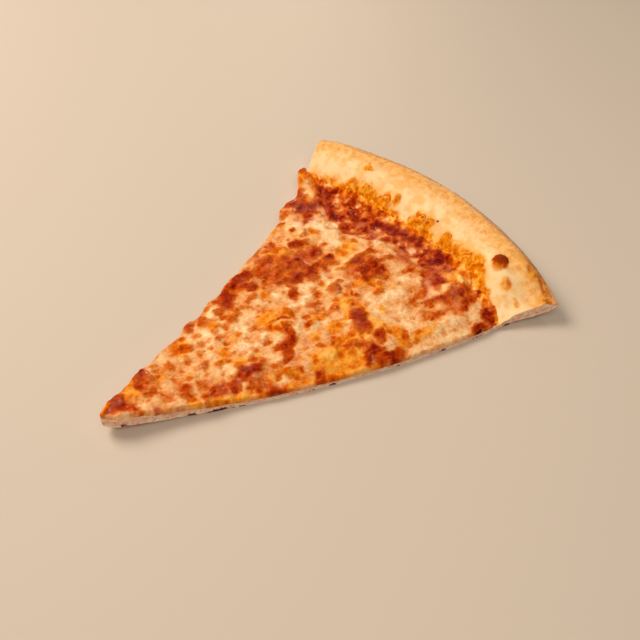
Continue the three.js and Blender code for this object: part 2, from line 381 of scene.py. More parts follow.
    def sole_height(self, radius: Array, across: Array, x: Array, y: Array) -> Array:
        """Height of the underside above the belly line: flat, rounded up to the rim's equator.

        Args:
            radius: distances from the pie's centre.
            across: shares from -1 at the front cut to 1 at the back cut.
            x: places along the slice.
            y: places across the slice.

        Returns:
            Heights.
        """
        under = np.clip((radius - (self.pie_radius - self.sole_round)) / self.sole_round, 0.0, 1.0)
        equator = self.dough_height(np.full_like(radius, self.pie_radius), across, x, y)
        return equator * (1.0 - np.sqrt(1.0 - under * under))

    def sauce_reach(self, across: Array) -> Array:
        """Radius where the sauce ends: a slow wave.

        Args:
            across: shares from -1 at the front cut to 1 at the back cut.

        Returns:
            Radii.
        """
        turns, shift = self.sauce_edge_turns
        wave = self.sauce_edge_wave * np.sin(turns * across + shift)
        return self.sauce_edge + wave + self.rim_foot_back * self.corner(across)

    def sauce_height(self, radius: Array, across: Array) -> Array:
        """Thickness of the sauce, which thins out towards its edge."""
        inside = smoothstep(self.sauce_reach(across) - radius, 0.0, self.sauce_fade)
        return self.sauce * self.pressed(radius, across) * lerp(self.sauce_thin, 1.0, inside)

    def cheese_reach(self, across: Array) -> Array:
        """Radius where the cheese ends, through the list of angles and radii."""
        return through(self.cheese_edges, math.degrees(self.half_angle) * across)

    def cheese_height(self, radius: Array, across: Array, x: Array, y: Array) -> Array:
        """Thickness of the cheese: an even coat with broad lumps and round blisters, thinner at its edge.

        Args:
            radius: distances from the pie's centre.
            across: shares from -1 at the front cut to 1 at the back cut.
            x: places along the slice.
            y: places across the slice.

        Returns:
            Thicknesses.
        """
        inside = smoothstep(self.cheese_reach(across) - radius, 0.0, self.cheese_fade)
        fade = lerp(self.cheese_thin, 1.0, inside)
        lumps = self.lump_height * noise(x / self.lump_pitch, y / self.lump_pitch, self.lump_seed)
        coat = (self.cheese + self.lump_share * lumps) * fade * self.pressed(radius, across)
        return coat + self.bumps(self.cheese_blisters, x, y) * fade

    def centre(self) -> tuple[float, float]:
        """Middle of the slice's outline, which is the finished frame's origin.

        Returns:
            Its x and y.
        """
        radius = np.linspace(self.tip_radius, self.pie_radius, self.outline_steps)
        ends = [self.plan(radius, np.full_like(radius, side)) for side in (-1.0, 1.0)]
        y = np.concatenate([end[1] for end in ends])
        return (self.tip_radius + self.pie_radius) / 2, float(y.min() + y.max()) / 2


# ---------------------------------------------------------------------------------------------------
# What the oven did to the top, and some painted glints: listed marks with ragged outlines on a mottled
# ground


class Tone(Enum):
    """The colours laid on the top, from the first laid to the last; the veil is partly painted highlight."""

    CREAM = "cream"
    # A pale pink film on the melt, partly painted highlight: some of its marks are painted glints.
    VEIL = "veil"
    LUMP = "lump"
    OIL = "oil"
    RED = "red"
    BROWN = "brown"
    CHAR = "char"


@dataclass(frozen=True)
class Blot:
    """An oval mark on the slice's top: its middle, its half sizes, how far it is turned and its strength."""

    x: float
    y: float
    long: float
    wide: float
    turn: float
    strength: float
    edge: Span = (0.45, 1.35)

    def cover(self, x: Array, y: Array) -> Array:
        """The mark's strength at each place: full inside, fading out around the oval's edge.

        Args:
            x: places along the slice.
            y: places across the slice.

        Returns:
            Strengths from 0 to 1.
        """
        cos, sin = math.cos(math.radians(self.turn)), math.sin(math.radians(self.turn))
        u = ((x - self.x) * cos + (y - self.y) * sin) / self.long
        v = ((y - self.y) * cos - (x - self.x) * sin) / self.wide
        return self.strength * (1.0 - smoothstep(np.hypot(u, v), *self.edge))


def blots(*rows: tuple[float, float, float, float, float, float]) -> tuple[Blot, ...]:
    """Blots from rows of x, y, half length, half width, turn in degrees, and strength."""
    return tuple(Blot(*row) for row in rows)


MARKS: dict[Tone, tuple[Blot, ...]] = {
    Tone.CREAM: blots(
        (38, -2, 4, 6, 0, 0.5), (47, 1, 7, 4, 10, 0.6), (43, 14, 8, 3, 20, 0.6), (63, 7, 6, 5, 0, 0.6),
        (62, -12, 6, 5, 0, 0.5), (57, -9, 5, 3, 0, 0.5), (66, 14, 4, 4, 0, 0.6), (79, -6, 8, 5, 0, 0.6),
        (86, 5, 7, 5, 80, 0.5), (93, -12, 4, 3, 60, 0.6), (84, -17, 5, 2, 30, 0.5), (83, 24, 4, 3, 0, 0.3),
        (98, 20, 4, 6, 0, 0.4), (110, 8, 6, 6, 0, 0.7), (113, 0, 4, 6, 0, 0.5), (126, 4, 6, 4, 0, 0.7),
        (129, -7, 4, 5, 0, 0.5), (105, -14, 3, 3, 0, 0.7), (113, -19.5, 9, 2.4, 5, 0.8),
        (85, -27, 5, 4, 0, 0.3), (124, -19, 6, 2.4, 25, 0.7), (146, 4, 7, 4, -20, 0.6),
        (142, 44, 8, 4, 30, 0.5), (149, 43, 6, 6, 0, 0.4), (163, 28, 9, 6, 60, 1), (167, 38, 6, 4, 80, 0.8),
        (163, 10, 7, 5, 0, 0.5), (160, 20, 6, 4, 0, 0.7), (178, 66, 6, 3.5, 60, 0.8),
        (180, 3, 7, 3, 10, 0.6), (172, -14, 4, 5, 0, 0.8), (149, -27, 13, 7, 0, 1),
        (147, -40, 8, 7, 0, 0.9), (163, -24, 9, 5, 30, 0.8), (173, -24, 5, 3, -40, 0.7),
        (155, -41, 6, 7, 0, 0.6), (163, -59, 9, 5, 0, 0.9), (180, -61, 11, 2.6, 22, 1),
        (146, -63, 12, 4, -15, 0.8), (158, -67, 8, 4, -15, 0.9), (188.8, -43.6, 2.8, 4.4, -12, 1),
        (140, -26, 4, 8, 0, 0.6), (168, -48, 4, 3, 0, 0.3), (100, -25, 4, 5, 0, 0.3),
        (137, -3, 8, 5, 0, 0.4), (150, -60, 9, 3, -10, 0.6), (117, -20, 8, 3, 10, 0.5),
        (97, -31, 4, 4, 0, 0.5), (192, 37, 1.8, 1.6, 0, 0.9), (192.5, 31, 1.6, 2.4, 0, 0.7),
        (188, -8, 3, 2.4, 0, 0.5), (121, -30, 5, 1.2, 40, 0.4), (88, -14, 3, 3, 0, 0.3),
        (99, 12, 5, 3, 0, 0.4), (72, 2, 4, 3, 0, 0.3), (92, 9, 4, 5, 0, 0.4), (145, -5, 6, 3, 30, 0.4),
        (154, 33, 5, 3, 60, 0.4), (50, -11, 3, 2, 0, 0.2), (31, -11, 3, 2, -40, 0.3),
        (182, 26, 4, 2, 40, 0.4), (174, -40, 8, 2.4, 20, 0.7), (184.5, 72, 2, 6, -20, 0.3),
        (162, -33, 5, 3.4, 0, 0.9), (150, -49, 6, 5, 0, 1), (158, -44, 4, 3, 0, 0.7),
        (164, -67, 6, 3.4, 0, 1), (147, -62, 6, 3, -15, 1), (184, -0.5, 4, 2.4, 0, 0.9),
        (184, -15, 3.4, 2.4, 0, 0.9), (116, -25, 3, 2.4, 0, 0.8), (171, 38.5, 3.2, 2.6, 0, 0.8),
        (45, -7, 2.6, 2, 0, 0.6), (158, -34.5, 3, 2.2, 0, 0.7), (136, -60, 5, 2.4, -15, 0.9),
        (108, -49.5, 4, 2.4, -20, 0.7), (170, 34, 4, 4, 0, 1), (150, -71, 8, 3, -12, 0.6),
    ),
    # Pale pink film, partly painted highlight: small marks such as those at (88.5, -27.5) and (107, 27) are
    # painted glints.
    Tone.VEIL: blots(
        (44, -22, 3, 1.4, -25, 0.3), (33, -16, 4, 1.6, -30, 0.7), (63, -31, 3, 1.2, -25, 0.8),
        (72, -35.5, 3, 1, -25, 0.6), (86, -42.5, 4, 1.3, -25, 0.8), (98, -50, 3, 1.2, -20, 0.7),
        (112, -56, 4, 1.2, -20, 0.7), (78, -34, 3, 2, -30, 0.5), (6, -4, 3, 2.4, -30, 0.8),
        (12, -6, 4, 2, -40, 0.5), (20, -7, 5, 3, -40, 0.5), (25, -10, 4, 2.4, -50, 0.7),
        (36, -13, 6, 2, -30, 0.4), (53, -12.5, 3, 2, 0, 0.5), (68, 18, 2.5, 2.5, 0, 0.6),
        (86, -12.5, 3, 2, 30, 0.4), (75.5, -9.5, 2, 3, 0, 0.6), (94, -33, 3, 3, 30, 0.7),
        (102, -25, 3, 3, 0, 0.5), (93, -26, 3, 2, 0, 0.4), (107, 27, 2.6, 1.4, 30, 0.8),
        (121, 38, 5, 2, 10, 0.5), (140, 6, 4, 3, 0, 0.7), (138, 20, 6, 0.8, 88, 0.7),
        (156, 49, 3.5, 7, -10, 0.8), (165, 44, 6, 3, 10, 0.8), (174, 47, 4, 4, 0, 0.5),
        (172.3, 68.8, 1.2, 1.8, 0, 1), (182, -11, 8, 6, 0, 0.5), (189, -9, 2.6, 2.2, 0, 0.8),
        (176, -33, 6, 2, 40, 0.6), (170, -39, 6, 2.2, 20, 1), (183, 25, 4, 3, 30, 0.6),
        (181, 14, 5, 5, 0, 0.5), (172, -53, 4, 3, 0, 0.5), (178, -3, 4, 3, 0, 0.4),
        (88.5, -27.5, 1.6, 1.2, 0, 0.9), (144, -8, 8, 1.2, 35, 0.4), (119, -51, 3, 0.9, 40, 0.6),
        (195, 4, 2, 2.4, 0, 0.5), (192, 35.6, 1.6, 1.2, 0, 0.6), (133, 43, 3, 2, 20, 0.4),
        (70, -24, 2.4, 2, 0, 0.5), (98, 17, 4, 4, 0, 0.3), (162, 41, 3, 2.4, 0, 0.7),
    ),
    Tone.OIL: blots(
        (205, 47.5, 5, 2.4, 10, 0.4), (208.2, 46.4, 2.4, 3.8, 0, 1), (199.2, -63.8, 3.2, 3.4, -20, 0.8),
        (196.8, -73, 2, 3.4, -20, 0.65), (197, -58, 4, 4, 0, 0.25), (8, 3, 5, 4, 40, 0.9),
        (19, 6, 8, 4.4, 35, 1), (23, 3, 5, 5, 30, 0.9), (27, 10, 4, 3, 40, 0.8),
        (37, 3, 4.4, 1.7, -55, 0.9), (55.5, 13, 5.4, 4.4, 10, 0.9), (48.5, -3.5, 2.4, 2, 0, 0.6),
        (53, 7, 2, 2, 0, 0.6), (67.5, -2.5, 4.6, 3, 20, 0.9), (64, -7, 3, 1.6, 20, 0.7),
        (50, -25, 8, 3.4, -24, 1), (58, -28, 8, 3.2, -26, 1), (40, -19, 4, 2.2, -40, 0.9),
        (66, -32, 7, 2, -24, 0.9), (71, -12, 6, 3.6, -20, 0.8), (80, -14.5, 2.6, 2, 0, 0.6),
        (79, 1, 4, 3, 50, 0.8), (76, -29, 6, 4, 0, 0.6), (75, 14, 3.8, 3.4, 0, 0.9), (43, 7, 3, 3, 0, 0.5),
        (99, 2, 8, 5, 0, 1), (95, -5, 4, 6, 0, 0.8), (107, -2, 4, 5, 0, 0.7), (99, -8, 5, 3, 0, 1),
        (107, 15.5, 2.6, 4, 0, 0.8), (115, -14.5, 7, 3, 0, 0.8), (108, -24, 4, 4, 0, 0.9),
        (120, -25, 5, 4, 0, 1), (86, -34, 6, 2.6, -50, 0.9), (103, -36, 10, 6, 0, 0.9),
        (108, -44, 14, 8, -10, 1), (100, -49, 12, 4, -20, 1), (117, -34, 9, 4, 10, 0.9),
        (139, -48, 9, 4.4, 80, 1), (149, -55.5, 7, 3.2, -8, 1), (119, -56, 7, 2.6, -20, 0.9),
        (134, -14, 8, 4, 20, 0.9), (137, -22, 4, 8, 0, 0.8), (146, -31.5, 3, 2.4, 60, 0.9),
        (152, -11, 8, 4, -20, 0.9), (153.5, -19, 6, 3.6, 75, 1), (160, -22, 4, 2, 90, 0.6),
        (163, 14, 8, 5, 0, 0.9), (155, 12, 4, 4, 0, 0.7), (150, 40, 3.4, 3, 0, 0.6),
        (131, 33, 9, 7, -30, 0.9), (124, 20, 9, 8, 0, 0.8), (143, 13, 9, 4, 0, 0.7),
        (141, 50, 5, 1.8, 25, 0.7), (156, 34, 6, 3, 60, 0.6), (173, 60, 4, 3.4, 50, 1),
        (160, 4, 10, 4, 0, 0.8), (180, 75, 9, 3, 50, 0.8), (187, 74, 9, 3.4, 100, 1),
        (191, -35, 9, 5, 75, 1), (184, -39, 8, 4, 15, 0.9), (197, -42, 12, 6, 85, 1),
        (136, -36, 4, 8, 0, 0.8), (127, -38, 7, 5, 0, 0.7), (188, -49, 5, 4, 0, 0.8),
        (81, -38, 7, 2.4, -25, 0.9), (91, -43, 7, 3, -30, 1), (157, -54, 4, 4, 0, 0.4),
        (131, -1, 5, 4, 0, 0.4), (178, -49, 5, 4, 30, 0.5), (196, 30, 18, 3, 96, 0.9),
        (197, 0, 18, 2.4, 90, 0.9), (185, 42, 7, 4, 80, 0.6), (190, 28, 6, 4, 90, 0.6),
        (117, -4, 2.4, 3, 0, 0.3), (84, 15, 4, 3, 0, 0.4), (165, -18, 3, 6, 0, 0.4),
        (128, -23, 6, 2, 40, 0.9), (148, 37, 3, 3, 0, 0.3), (149, 49, 5, 3, 0, 0.5),
        (103, 30, 9, 3, 10, 0.3),
    ),
    Tone.RED: blots(
        (13, 1, 6, 5, 70, 0.8), (28, 6, 8, 4, 75, 0.8), (16, -4, 3.4, 4, 0, 0.8),
        (24.5, -10, 3, 2.4, -40, 0.5), (41, -9, 5.4, 4.4, 0, 0.5), (35, -10, 4, 3, 0, 0.4),
        (56, -20, 12, 3.4, -4, 0.8), (70, -27, 7, 5, 90, 0.7), (75, -36, 6, 3.4, -35, 0.8),
        (70, -20, 8, 4, 0, 0.8), (66, 22.5, 5, 2.6, 35, 0.8), (91, 26, 6, 5, 60, 0.8),
        (104, 32.5, 10, 4, 12, 0.9), (106, 25, 4, 5, 0, 0.6), (119, 26, 10, 9, 20, 0.6),
        (128, 30, 9, 7, 20, 0.5), (135, 22, 9, 8, 0, 0.7), (131, 14, 11, 4.4, 0, 0.9),
        (146, 23, 6, 5, 0, 0.7), (147, 13, 7, 4, 0, 0.7), (143.5, 34, 5, 4, 0, 0.6),
        (119, 6, 6, 3, 75, 0.6), (96, -17, 6, 4.6, 0, 0.7), (90, -23, 6, 4, 50, 0.7),
        (99.5, -11, 5, 2, 75, 0.8), (94, -43, 5, 4, 30, 0.6), (122, -49, 8, 4, 10, 0.8),
        (128, -56, 8, 4, -20, 0.7), (158, -3, 12, 9, -20, 0.8), (161, -10, 8, 4, 0, 0.6),
        (120.5, -6, 3, 3, 60, 0.7), (111, -14, 6, 2, 0, 0.3), (167, 53, 9, 6.4, 20, 1),
        (177, 54.5, 7, 3.4, 20, 1), (185, 62, 7, 2.6, 65, 1), (163, 62, 5, 4, 0, 0.7),
        (186, 57, 8, 2.6, 0, 1), (192, 54, 6, 2.6, -50, 1), (178, 45, 9, 3.6, 65, 1),
        (175, 36, 8, 3, 85, 0.9), (183, 36, 9, 6, 60, 0.8), (191, 44, 8, 5, 80, 1),
        (172.5, 26, 6, 2.4, -70, 0.7), (176, 21, 6, 3, -20, 0.8), (187, 21, 8, 5, -60, 1),
        (190.5, 10, 10, 4, 95, 1), (183, 29, 5, 3, 60, 0.5), (192, 26, 7, 3.4, 90, 0.8),
        (186, 4, 4, 3, 0, 0.5), (194, -6, 7, 3.6, 90, 0.9), (195, -17, 9, 4.6, 85, 1),
        (186, -27, 12, 5, 22, 1), (174, -33, 6, 3, 40, 0.8), (194, -28, 4, 5, 90, 0.8),
        (184.5, -4.5, 4, 2, 40, 0.8), (172.5, -6, 4, 4, 0, 0.4), (163, -36, 6, 2.6, 10, 0.4),
        (180, -36, 6, 4, 20, 1), (171, -44, 7, 3, -25, 0.8), (159, -48, 7, 4.4, 0, 0.3),
        (166, -52, 5, 2.4, -20, 0.5), (183, -48, 6, 5, 0, 0.9), (183, -54, 3.6, 3.4, 0, 1),
        (194.5, -50, 7, 2.6, 85, 0.7), (175, -50, 5, 4, 0, 0.6), (185, -68, 8, 4.4, 12, 1),
        (174, -69, 5, 3, 0, 0.9), (191, -64, 5, 3, 40, 0.8), (176, -57, 6, 2.4, 25, 0.7),
        (133, -29, 8, 5, 60, 0.7), (132, -42, 5, 3.4, 60, 0.8), (185, 14, 5, 4, 0, 0.4),
        (179, -11, 6, 4, 0, 0.35), (55.5, -4, 3, 3, 0, 0.3), (50, -11, 3, 3, 0, 0.5),
        (87, 22, 5, 3, 40, 0.4), (78, 18, 5, 3, 0, 0.3), (102, -21, 6, 3, 0, 0.2),
        (141, -17, 6, 2, 30, 0.2), (133, 44, 6, 3, 20, 0.25), (82, -30, 5, 3, -40, 0.4),
        (72, 8, 3, 3, 0, 0.4), (178, 12, 5, 4, 0, 0.7), (162, 45, 5, 3, 0, 0.7), (112, -30, 6, 3, 20, 0.3),
        (183, -70.5, 6, 3.6, 10, 1), (169, 5, 4, 3, 0, 0.5), (139, 27, 5, 5, 0, 0.6),
    ),
    Tone.BROWN: blots(
        (13, 4.5, 4, 3.4, 70, 1), (12.5, -0.5, 3.4, 2.8, 40, 0.9), (16, -4, 2.4, 1.8, -20, 0.5),
        (31.5, 11.5, 3.6, 2.4, -60, 1), (33, 6.5, 3.6, 1.6, 85, 0.8), (28.5, -2, 3.2, 2.2, 60, 0.7),
        (43.5, 7, 2.4, 2.2, 60, 0.6), (42, -8.5, 2.8, 3, 0, 0.6), (38, -12, 2, 1.6, 0, 0.3),
        (58.5, 10, 2.4, 2, 0, 0.7), (53, 7.5, 1.8, 1.8, 0, 0.4), (56, -3.5, 2.6, 2.4, 0, 0.6),
        (71.5, 6, 1.7, 1.7, 0, 0.9), (52, 13, 3, 2, 0, 0.3), (73.5, 22, 3, 2.6, 0, 1),
        (65.5, 22, 4, 1.6, 35, 0.5), (75.5, 13.5, 2.4, 2.2, 0, 0.5), (69, -14, 3, 2.2, 0, 0.7),
        (50, -17, 6, 1.4, 12, 0.5), (45, -20, 3, 1.4, 65, 0.7), (58, -20, 7, 2, -5, 0.4),
        (61, -22.5, 2.6, 2.2, 0, 0.7), (72, -20.5, 6, 3.2, 0, 1), (69, -26, 5, 2.4, 80, 0.5),
        (65, -17, 3, 2, 0, 0.4), (73.5, -35.5, 4.4, 2.4, -35, 1), (78, -39.5, 4, 1.6, -30, 0.5),
        (92, 26.5, 4.6, 3.4, 60, 1), (88, 23, 3, 2.6, 60, 0.6), (89.5, 17.5, 4.4, 1.8, 85, 0.7),
        (82.5, 15, 3, 2, 20, 0.6), (81, 20.3, 2.6, 2, 0, 0.6), (83.5, 27.5, 4, 1.6, 10, 0.5),
        (98.5, 32.3, 3, 2.2, 0, 0.9), (104, 33.8, 4, 3, 0, 1), (109, 32.5, 3.5, 3.2, 60, 0.9),
        (105.5, 24.5, 3.5, 2.4, 50, 0.7), (96, 13.2, 2.2, 1.8, 0, 0.5), (68, 8, 2, 1.6, 0, 0.4),
        (112, 22, 3, 1.6, 60, 0.6), (117.5, 18, 4, 3, 60, 0.7), (128, 14, 5, 2.4, 0, 0.9),
        (134, 10, 4.4, 3, 80, 0.9), (134, 22.5, 4.4, 3.4, 0, 0.7), (136, 17, 4, 1.8, 90, 0.6),
        (119.5, 6, 5, 2.4, 75, 0.6), (122.5, 7.5, 1.8, 1.4, 0, 0.7), (108.3, -2.3, 4, 2, 85, 0.8),
        (120.8, -6, 2.4, 1.6, 60, 0.6), (90.5, -3.2, 2, 1.8, 0, 0.5), (125, 24, 4, 3, 0, 0.4),
        (98, -10, 3, 2, 0, 0.5), (96, -4, 4, 0.9, 45, 0.6), (99.5, -2.4, 2.6, 0.8, 0, 0.7),
        (113, 28, 3, 2.4, 0, 0.4), (103.5, -4.2, 3, 1.1, -40, 0.9), (101, -7.5, 2.4, 1.2, -30, 0.5),
        (127.5, -15, 3.4, 1.8, 15, 0.8), (137, -3.5, 4, 2.4, 0, 0.8), (100, -12.5, 4, 2, 75, 0.7),
        (96, -17.5, 4.4, 3.4, 0, 0.9), (111, -15, 4, 1.6, 0, 0.5), (90.5, -23, 4.6, 3.2, 50, 0.4),
        (132.5, -27.5, 7, 4.4, 60, 1), (133, -28, 4, 3, 60, 0.8), (130.5, -34, 4, 2.6, 70, 0.8),
        (132.5, -42, 4, 2.4, 60, 0.8), (118, -39.5, 6, 3.4, -10, 0.8), (123, -43, 4, 3, -40, 0.6),
        (120, -33, 5, 2.4, 0, 0.5), (112, -33.5, 5, 3, 10, 0.6), (122, -48, 5, 2.4, 10, 1),
        (118, -50, 4.2, 2, 40, 0.7), (107, -31, 4, 2, 0, 0.3), (126.5, -49.5, 3, 2.4, 0, 0.9),
        (129, -56.5, 5, 3.4, -25, 1), (124, -53, 4.4, 3.4, 0, 0.8), (96, -40, 4, 2, 0, 0.3),
        (93.5, -43, 4, 2.8, 30, 0.5), (83.5, -31, 4.5, 2.2, -40, 0.6), (126, -31, 4, 2, 40, 0.4),
        (85, -25, 2, 2, 0, 0.3), (125, 43.5, 4, 1.6, 15, 0.6), (133.5, 43.5, 4, 2, 30, 0.5),
        (119, 37.5, 4, 2, 10, 0.5), (130, 40, 4, 1.4, 0, 0.4), (149.8, 45, 2.2, 1.6, 0, 0.8),
        (148, 52, 3.6, 1.8, 10, 0.6), (157.5, 44.3, 2.2, 1.6, 0, 0.5), (154, 40, 2.2, 1.4, 50, 0.4),
        (134, 37, 5, 2.4, -35, 0.7), (143.5, 34.5, 4.2, 3.2, -35, 1), (148, 32.5, 3.6, 2, 0, 0.7),
        (122.5, 35, 5, 3, 20, 0.7), (147.5, 22.5, 3.6, 3, 60, 0.9), (153, 24, 3, 1.2, 10, 0.5),
        (150.5, 15, 3, 2.4, 30, 1), (144, 11.5, 4, 2.4, 0, 0.6), (157, 16.5, 2.4, 1.6, 40, 0.5),
        (140, 15, 3, 2, 0, 0.4), (164, 62.5, 4.5, 3, 0, 0.8), (162, 66, 3, 2, 30, 0.7),
        (174.5, 66.5, 4.5, 2.2, 40, 0.9), (180, 73, 4, 1.2, 55, 0.7), (186, 80, 4, 2, 10, 1),
        (185, 62.5, 4, 2.2, 70, 0.4), (165, 57, 4, 3, 0, 0.9), (75, 18, 3, 2.4, 0, 0.6),
        (102, 19, 3, 2, 0, 0.5), (186.5, 76, 3, 1, 90, 0.5), (161, 4.5, 8, 2.6, -5, 0.7),
        (163, 54, 3, 2, 0, 0.4), (155.5, -5, 4.6, 2.8, 80, 0.9), (162, -10, 5.4, 2.6, 10, 1),
        (166, -2, 4.4, 3, 80, 0.6), (152, 4, 3, 2, 0, 0.4), (165, -13.5, 4, 2, 60, 0.5),
        (169, 4, 2.8, 2.4, 0, 0.7), (173, -6, 3.4, 3, 0, 0.6), (160, -2, 5, 4, 0, 0.4),
        (184.5, -4.5, 3.2, 1.4, 40, 0.7), (179, -12, 3, 2.4, 90, 0.6), (186.5, -12.8, 3.6, 2.4, -10, 0.6),
        (178, -20, 5, 1.8, -5, 0.5), (153, -21, 3.6, 2.4, 70, 0.5), (141.5, -2.5, 2, 1.6, 0, 0.6),
        (147, -2, 2, 1.4, 0, 0.3), (142.5, -15.5, 1.6, 1.4, 0, 0.6), (143, -8, 4, 1.2, 30, 0.5),
        (162.5, -36.5, 3, 1.4, -5, 0.5), (180, -36.5, 4.4, 2.8, 20, 0.9), (169, -36, 3, 1.6, 30, 0.6),
        (171, -44, 6, 2, -30, 0.6), (178, -46.5, 4.4, 2.6, 20, 0.7), (188, -21, 3, 2, 0, 0.5),
        (183, -48, 3.4, 2.4, 0, 0.9), (177, -57, 4.4, 1.6, 30, 0.6), (159.5, -48.5, 4, 2.8, 0, 0.3),
        (163, -50.5, 2.8, 1.5, 0, 0.6), (173, -69.5, 3.4, 2.6, 0, 1), (187, -65.5, 4, 1.6, 15, 0.5),
        (183, -70, 3, 1.6, 0, 0.5), (188, -66, 3, 2.6, 0, 0.5), (196.5, -17.5, 4.5, 3.4, 60, 0.9),
        (192, -23.5, 3.4, 2.4, 40, 0.9), (197.5, -27.5, 2.6, 2.4, 0, 0.7), (194, -40, 5, 0.9, 85, 0.5),
        (196, -8, 3, 2, 90, 0.5), (167, 52, 5, 4, 20, 0.7), (175, 53, 4, 2.4, 20, 0.8),
        (188, 37.5, 1, 2, 0, 0.9), (178, 44, 6, 2, 65, 0.4), (194, 46, 2.4, 4, 0, 0.6),
        (187, 22, 6, 3, -60, 0.8), (190, 9, 6, 2.8, 90, 0.8), (176, 20.5, 5, 1.8, -15, 0.6),
        (190, 55, 4, 1.6, -40, 0.6), (187, 33, 4, 2, 70, 0.5), (193, 27, 3, 1.6, 90, 0.5),
        (187, 3, 3, 2, 40, 0.5), (200, 24, 2.2, 1.2, 70, 0.5), (196, 46, 2.4, 1, 70, 0.4),
        (210, 49.2, 1, 1.5, 0, 0.6), (209.8, 43.6, 1.1, 1.4, 0, 0.6), (200.5, 41, 1.4, 1.8, 0, 0.6),
        (204.6, 19, 0.9, 2, 0, 0.6), (202, 27.5, 2.2, 1.2, -40, 0.5), (203.6, 0, 1, 2.4, 0, 0.6),
        (182, -68, 4, 3, 10, 0.8), (162, 55, 4, 3, 0, 0.9), (129, -34.5, 3.4, 3, 0, 0.9),
        (172, 64, 4, 3, 0, 0.8), (83, 21, 3, 2.4, 0, 0.7), (157, -10.5, 3, 2, 0, 0.7),
        (178, 12, 3, 2, 0, 0.6), (152, -21, 3, 2.4, 0, 0.6), (162, 45, 3, 2, 0, 0.6),
        (73, 15.5, 2.4, 2, 0, 0.6), (93, 15.5, 2.4, 2, 0, 0.5), (84, 10.5, 2.4, 2, 0, 0.4),
        (86, 13.5, 2.6, 2.2, 0, 0.8), (183, -66.5, 4, 3, 0, 1), (126, 34.5, 3, 2.4, 0, 0.8),
        (182, 13.5, 3, 2.4, 0, 0.7), (106, 26.5, 3, 2, 0, 0.6), (129, -33, 3, 2.6, 0, 0.7),
        (62, -7, 2.4, 2, 0, 0.5), (176, -39, 3, 2.4, 0, 0.7), (135, 8.5, 3.4, 3, 0, 1),
        (164, 56, 4.4, 3.4, 0, 1), (103.5, 26, 3.4, 2.8, 0, 0.9), (98, 16.5, 2.6, 2, 0, 0.7),
        (84, 12, 3, 2.6, 0, 0.8), (136, -6, 3, 2.6, 0, 0.8), (153, -10, 3.4, 2.6, 0, 0.8),
        (89, 21, 3, 2.4, 0, 0.8), (62, -7, 3, 2.4, 0, 0.7), (72, 18, 2.6, 2.2, 0, 0.7),
        (132, 36.5, 3, 2, 0, 0.6), (10, 3, 3, 2.4, 0, 0.7), (128, -34.5, 4.6, 3.4, 0, 1),
        (8, 0.5, 4, 2.4, 0, 0.9), (27, -2, 2.8, 2.2, 0, 0.8), (151, -21, 3, 2.4, 0, 0.8),
        (82, 22, 2.8, 2.2, 0, 0.8), (170, 62, 4, 3, 0, 0.9), (186, 75.5, 3, 2.4, 0, 0.7),
        (151, -20.5, 2.6, 2, 0, 0.5), (167, 55, 4, 3, 20, 1), (154.5, -11, 3, 2.4, 0, 0.7),
        (100, 17.5, 2.4, 2, 0, 0.6), (203, 1, 2, 1.6, 0, 0.4), (202, -18, 3, 1, 80, 0.4),
    ),
    Tone.LUMP: blots(
        (188.8, -44.2, 2.8, 3.4, -20, 1), (190, -40, 1.8, 2.2, 0, 0.6),
    ),
    Tone.CHAR: blots(
        (171, 67.8, 1.6, 1, -10, 1), (186, 81.3, 3.4, 1.2, 5, 1), (163.5, -41, 0.9, 0.7, 0, 0.9),
        (207.2, -51, 1.4, 1.2, 0, 0.55), (188, 37, 0.7, 1.4, 0, 0.9), (172.3, -71.5, 1.8, 0.9, 0, 0.7),
        (207, -8, 0.7, 0.6, 0, 1), (191, 35.3, 0.6, 0.5, 0, 0.7), (152, -45.5, 0.7, 0.6, 0, 0.5),
        (62, 3.8, 0.7, 0.6, 0, 0.5), (173, -60, 0.7, 0.5, 0, 0.4), (143, -59, 0.6, 0.5, 0, 0.4),
    ),
}


@dataclass(frozen=True)
class Fringe:
    """A tone's ragged outline: how far a noise stirs its marks, and where its cover begins and is full."""

    rough: float
    cloud: Cloud
    low: float
    high: float

    def cover(self, marks: Array, x: Array, y: Array) -> Array:
        """The tone's cover, from 0 to 1, where its marks have a given strength."""
        return smoothstep(marks + self.rough * self.cloud(x, y), self.low, self.high)


